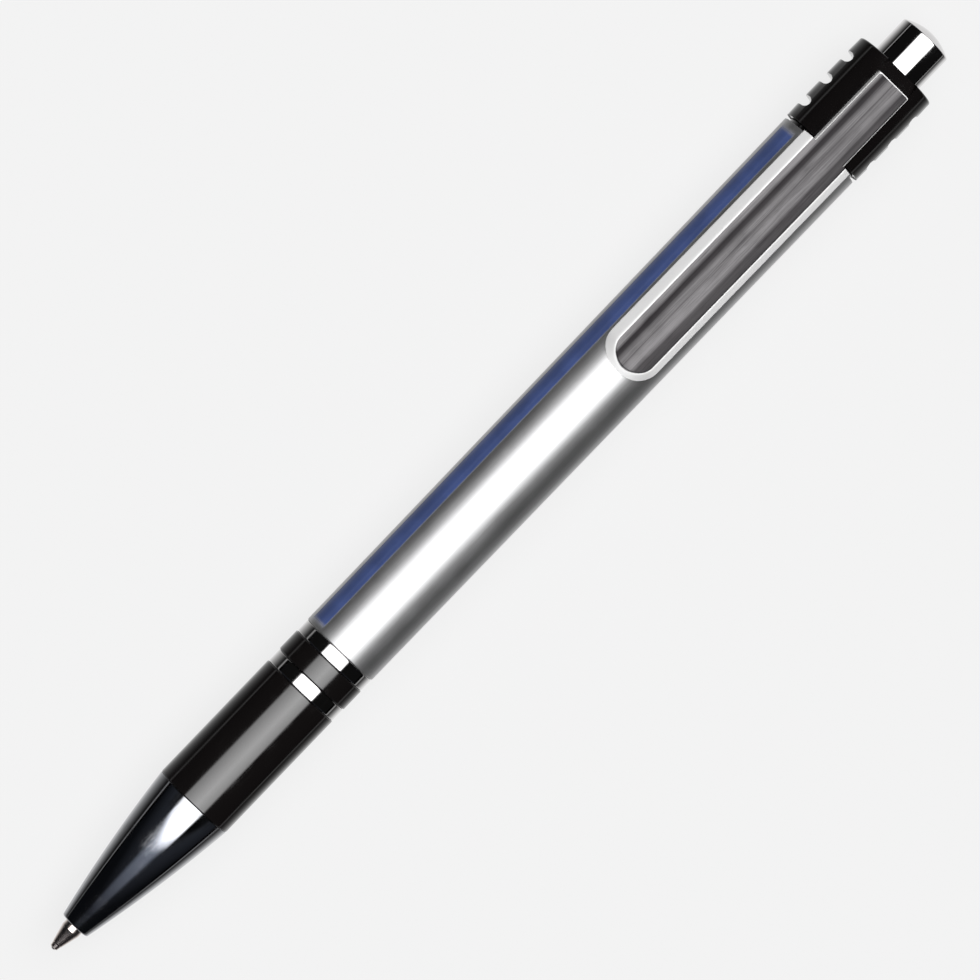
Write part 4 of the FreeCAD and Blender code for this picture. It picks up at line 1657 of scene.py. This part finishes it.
@dataclass
class Studio:
    """The floor, the overhead softbox and the camera over the pen.

    The softbox's angles and the camera's are in degrees. Its fades at the front and
    the spill past it are in radians, and the fade at its back is a share of straight along.
    """

    camera_tilt: float = 9.3
    axis_slant: float = 46.17
    lens: float = 250.0
    sensor: float = 36.0
    frame_width: float = 108.85 * MM
    aim_aside: float = -0.228 * MM
    aim_along: float = -0.05 * MM
    box_low: float = -37.0
    box_high: float = 30.5
    box_edge: float = 3.5
    box_crown: float = 2.5
    box_end: float = 19.8
    box_power: float = 5.2
    box_side_share: float = 0.55
    box_front_bulge: float = 0.035
    box_front_fade: tuple[float, float] = (-0.016, 0.012)
    box_back_fade: tuple[float, float] = (0.78, 0.9)
    spill_reach: float = 0.15
    spill_near: float = 0.085
    spill_far: float = 0.004
    spill_narrowing: tuple[float, float] = (0.35, 0.9)
    spill_side_share: float = 0.12
    spill_start: float = 0.01
    spill_colour: Colour = (0.82, 0.92, 1.15, 1.0)
    surroundings: float = 0.006
    backdrop: Colour = (0.965, 0.965, 0.97, 1.0)
    white: Colour = (1.0, 1.0, 1.0, 1.0)
    floor_size: float = 4.0
    paper: Colour = (0.86, 0.86, 0.865, 1.0)
    paper_glow: float = 0.86
    paper_glow_share: float = 0.92
    near_power: float = 0.44
    near_limit: float = 0.9
    near_start: tuple[float, float] = (10.5 * MM, 16.0 * MM)
    near_fade: tuple[float, float] = (6.0 * MM, 8.0 * MM)
    far_line_at: float = 55 * MM
    far_line_reach: float = 20 * MM
    far_line_power: float = 0.45

    def build(self) -> None:
        """Set up the world, the floor and the camera."""
        self.build_world()
        self.build_floor()
        self.build_camera()
        bpy.context.scene.view_settings.view_transform = "Standard"

    def build_world(self) -> None:
        """Paint the softbox over the pen into the world, with a dark room round it."""
        world = bpy.data.worlds.new("studio")
        bpy.context.scene.world = world
        world.use_nodes = True
        tree = world.node_tree
        tree.nodes.clear()
        wiring = Wiring(tree)
        axes = wiring.split(wiring.node("ShaderNodeTexCoord").outputs["Generated"])
        across = wiring.maths("ARCTAN2", wiring.times(axes["Y"], -1.0), axes["Z"])
        low, high = math.radians(self.box_low), math.radians(self.box_high)
        edge = math.radians(self.box_edge)
        half = (high - low) / 2
        rise = wiring.remap(across, low - edge, low + edge, 0.0, 1.0, smooth=True)
        fall = wiring.remap(across, high - edge, high + edge, 1.0, 0.0, smooth=True)
        off = wiring.maths("ABSOLUTE", wiring.minus(across, math.radians(self.box_crown)))
        crown = wiring.remap(off, 0.0, half, 1.0, self.box_side_share)
        forward = wiring.maths("ARCSINE", wiring.times(axes["X"], -1.0))
        bulge = wiring.times(wiring.maths("POWER", off, 2.0), self.box_front_bulge / half**2)
        past = wiring.minus(wiring.plus(forward, bulge), math.radians(self.box_end))
        front = wiring.remap(past, *self.box_front_fade, 1.0, 0.0, smooth=True)
        back = wiring.remap(axes["X"], *self.box_back_fade, 1.0, 0.0, smooth=True)
        glow = wiring.times(wiring.times(rise, fall), crown)
        glow = wiring.times(wiring.times(glow, front), back)
        total = wiring.plus(glow, self.spill(wiring, past, off, half))
        power = wiring.plus(wiring.times(total, self.box_power), self.surroundings)
        beyond = wiring.remap(past, -2 * self.spill_start, 2 * self.spill_start, 0.0, 1.0)
        tint = wiring.mix_colour(beyond, self.white, self.spill_colour)
        lit = wiring.node("ShaderNodeBackground")
        wiring.fill(lit, {"Color": tint, "Strength": power})
        seen = wiring.node("ShaderNodeBackground")
        wiring.fill(seen, {"Color": self.backdrop, "Strength": 1.0})
        leave = wiring.node("ShaderNodeOutputWorld")
        wiring.feed(leave.inputs["Surface"], self.seen_or_reflected(wiring, seen, lit))

    def spill(self, wiring: Wiring, past: object, off: object, half: float) -> Socket:
        """The faint light that spills past the softbox's front end.

        Args:
            wiring: The world's wiring.
            past: How far a direction lies past the softbox's front end.
            off: How far it lies to the side of the softbox's crown.
            half: Half the softbox's width.

        Returns:
            The strength of the spill.
        """
        spill = wiring.remap(past, 0.0, self.spill_reach, self.spill_near, self.spill_far)
        inner, outer = (half * share for share in self.spill_narrowing)
        narrow = wiring.remap(off, inner, outer, 1.0, self.spill_side_share, smooth=True)
        beyond = wiring.remap(past, -self.spill_start, self.spill_start, 0.0, 1.0)
        return wiring.times(wiring.times(spill, narrow), beyond)

    @staticmethod
    def seen_or_reflected(wiring: Wiring, seen: Node, reflected: Node) -> Socket:
        """One shader for what the camera sees itself and another for all else.

        Args:
            wiring: The wiring that holds both.
            seen: The shader that the camera sees.
            reflected: The shader that lights and reflects.

        Returns:
            The two, mixed.
        """
        mix = wiring.node("ShaderNodeMixShader")
        path = wiring.node("ShaderNodeLightPath")
        wiring.feed(mix.inputs[0], path.outputs["Is Camera Ray"])
        wiring.feed(mix.inputs[1], reflected.outputs[0])
        wiring.feed(mix.inputs[2], seen.outputs[0])
        return mix.outputs[0]

    def floor_material(self) -> Material:
        """Pale sweep: nearly white to the eye, and dim in reflections away from the pen."""
        made = bpy.data.materials.new("pale_floor")
        made.use_nodes = True
        made.node_tree.nodes.clear()
        wiring = Wiring(made.node_tree)
        paper = wiring.node("ShaderNodeBsdfDiffuse")
        wiring.feed(paper.inputs["Color"], self.paper)
        glow = wiring.node("ShaderNodeEmission")
        wiring.fill(glow, {"Color": self.white, "Strength": self.paper_glow})
        seen = wiring.node("ShaderNodeMixShader")
        wiring.feed(seen.inputs[0], self.paper_glow_share)
        wiring.feed(seen.inputs[1], paper.outputs[0])
        wiring.feed(seen.inputs[2], glow.outputs[0])
        mirrored = wiring.node("ShaderNodeEmission")
        wiring.fill(mirrored, {"Color": self.white, "Strength": self.floor_in_mirrors(wiring)})
        leave = wiring.node("ShaderNodeOutputMaterial")
        wiring.feed(leave.inputs["Surface"], self.seen_or_reflected(wiring, seen, mirrored))
        return made

    def floor_in_mirrors(self, wiring: Wiring) -> Socket:
        """How bright the floor is in reflections, near the pen and in a line far from it.

        Args:
            wiring: The floor material's wiring.

        Returns:
            The brightness, which differs on the pen's two sides.
        """
        across = wiring.split(wiring.object_place())["Y"]
        away = wiring.maths("ABSOLUTE", across)
        side = wiring.maths("LESS_THAN", across, 0.0)
        start = wiring.remap(side, 0.0, 1.0, *self.near_start)
        fade = wiring.remap(side, 0.0, 1.0, *self.near_fade)
        steps = wiring.maths("DIVIDE", wiring.minus(start, away), fade)
        near = wiring.times(wiring.maths("EXPONENT", steps), self.near_power)
        near = wiring.maths("MINIMUM", near, self.near_limit)
        off_line = wiring.maths("ABSOLUTE", wiring.minus(away, self.far_line_at))
        line = wiring.remap(off_line, 0.0, self.far_line_reach, self.far_line_power, 0.0)
        return wiring.plus(near, line)

    def build_floor(self) -> None:
        """Lay a wide pale floor under the pen."""
        mesh = bmesh.new()
        bmesh.ops.create_grid(mesh, x_segments=8, y_segments=8, size=self.floor_size)
        floor = finished_piece("studio_floor", mesh, self.floor_material())
        log.info("floor laid")

    def build_camera(self) -> None:
        """Look down on the pen, its axis slanting up to the right."""
        data = bpy.data.cameras.new("camera")
        data.lens = self.lens
        data.sensor_width = self.sensor
        data.clip_start = 0.01
        data.clip_end = 50.0
        camera = bpy.data.objects.new("camera", data)
        bpy.context.scene.collection.objects.link(camera)
        distance = self.frame_width * self.lens / self.sensor
        tilt = math.radians(self.camera_tilt)
        away = Vector((0.0, math.sin(tilt), math.cos(tilt)))
        along = Vector((1.0, 0.0, 0.0))
        aside = away.cross(along)
        slant = math.radians(self.axis_slant)
        right = along * math.cos(slant) - aside * math.sin(slant)
        up = along * math.sin(slant) + aside * math.cos(slant)
        rotation = Matrix((right, up, away)).transposed().to_4x4()
        target = Vector((self.aim_along, 0.0, AXIS_HEIGHT)) - aside * self.aim_aside
        camera.matrix_world = Matrix.Translation(target + away * distance) @ rotation
        bpy.context.scene.camera = camera


def main() -> None:
    """Build the pen's pieces and the studio."""
    logging.basicConfig(level=logging.INFO, format="%(name)s: %(message)s")
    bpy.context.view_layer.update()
    for assembly in (
        Studio(),
        WritingPoint(),
        NoseCone(),
        GripAndRings(),
        BarrelShell(),
        RibbedCollar(),
        PocketClip(),
        PushButton(),
        InsideWorks(),
    ):
        assembly.build()


if __name__ == "__main__":
    main()
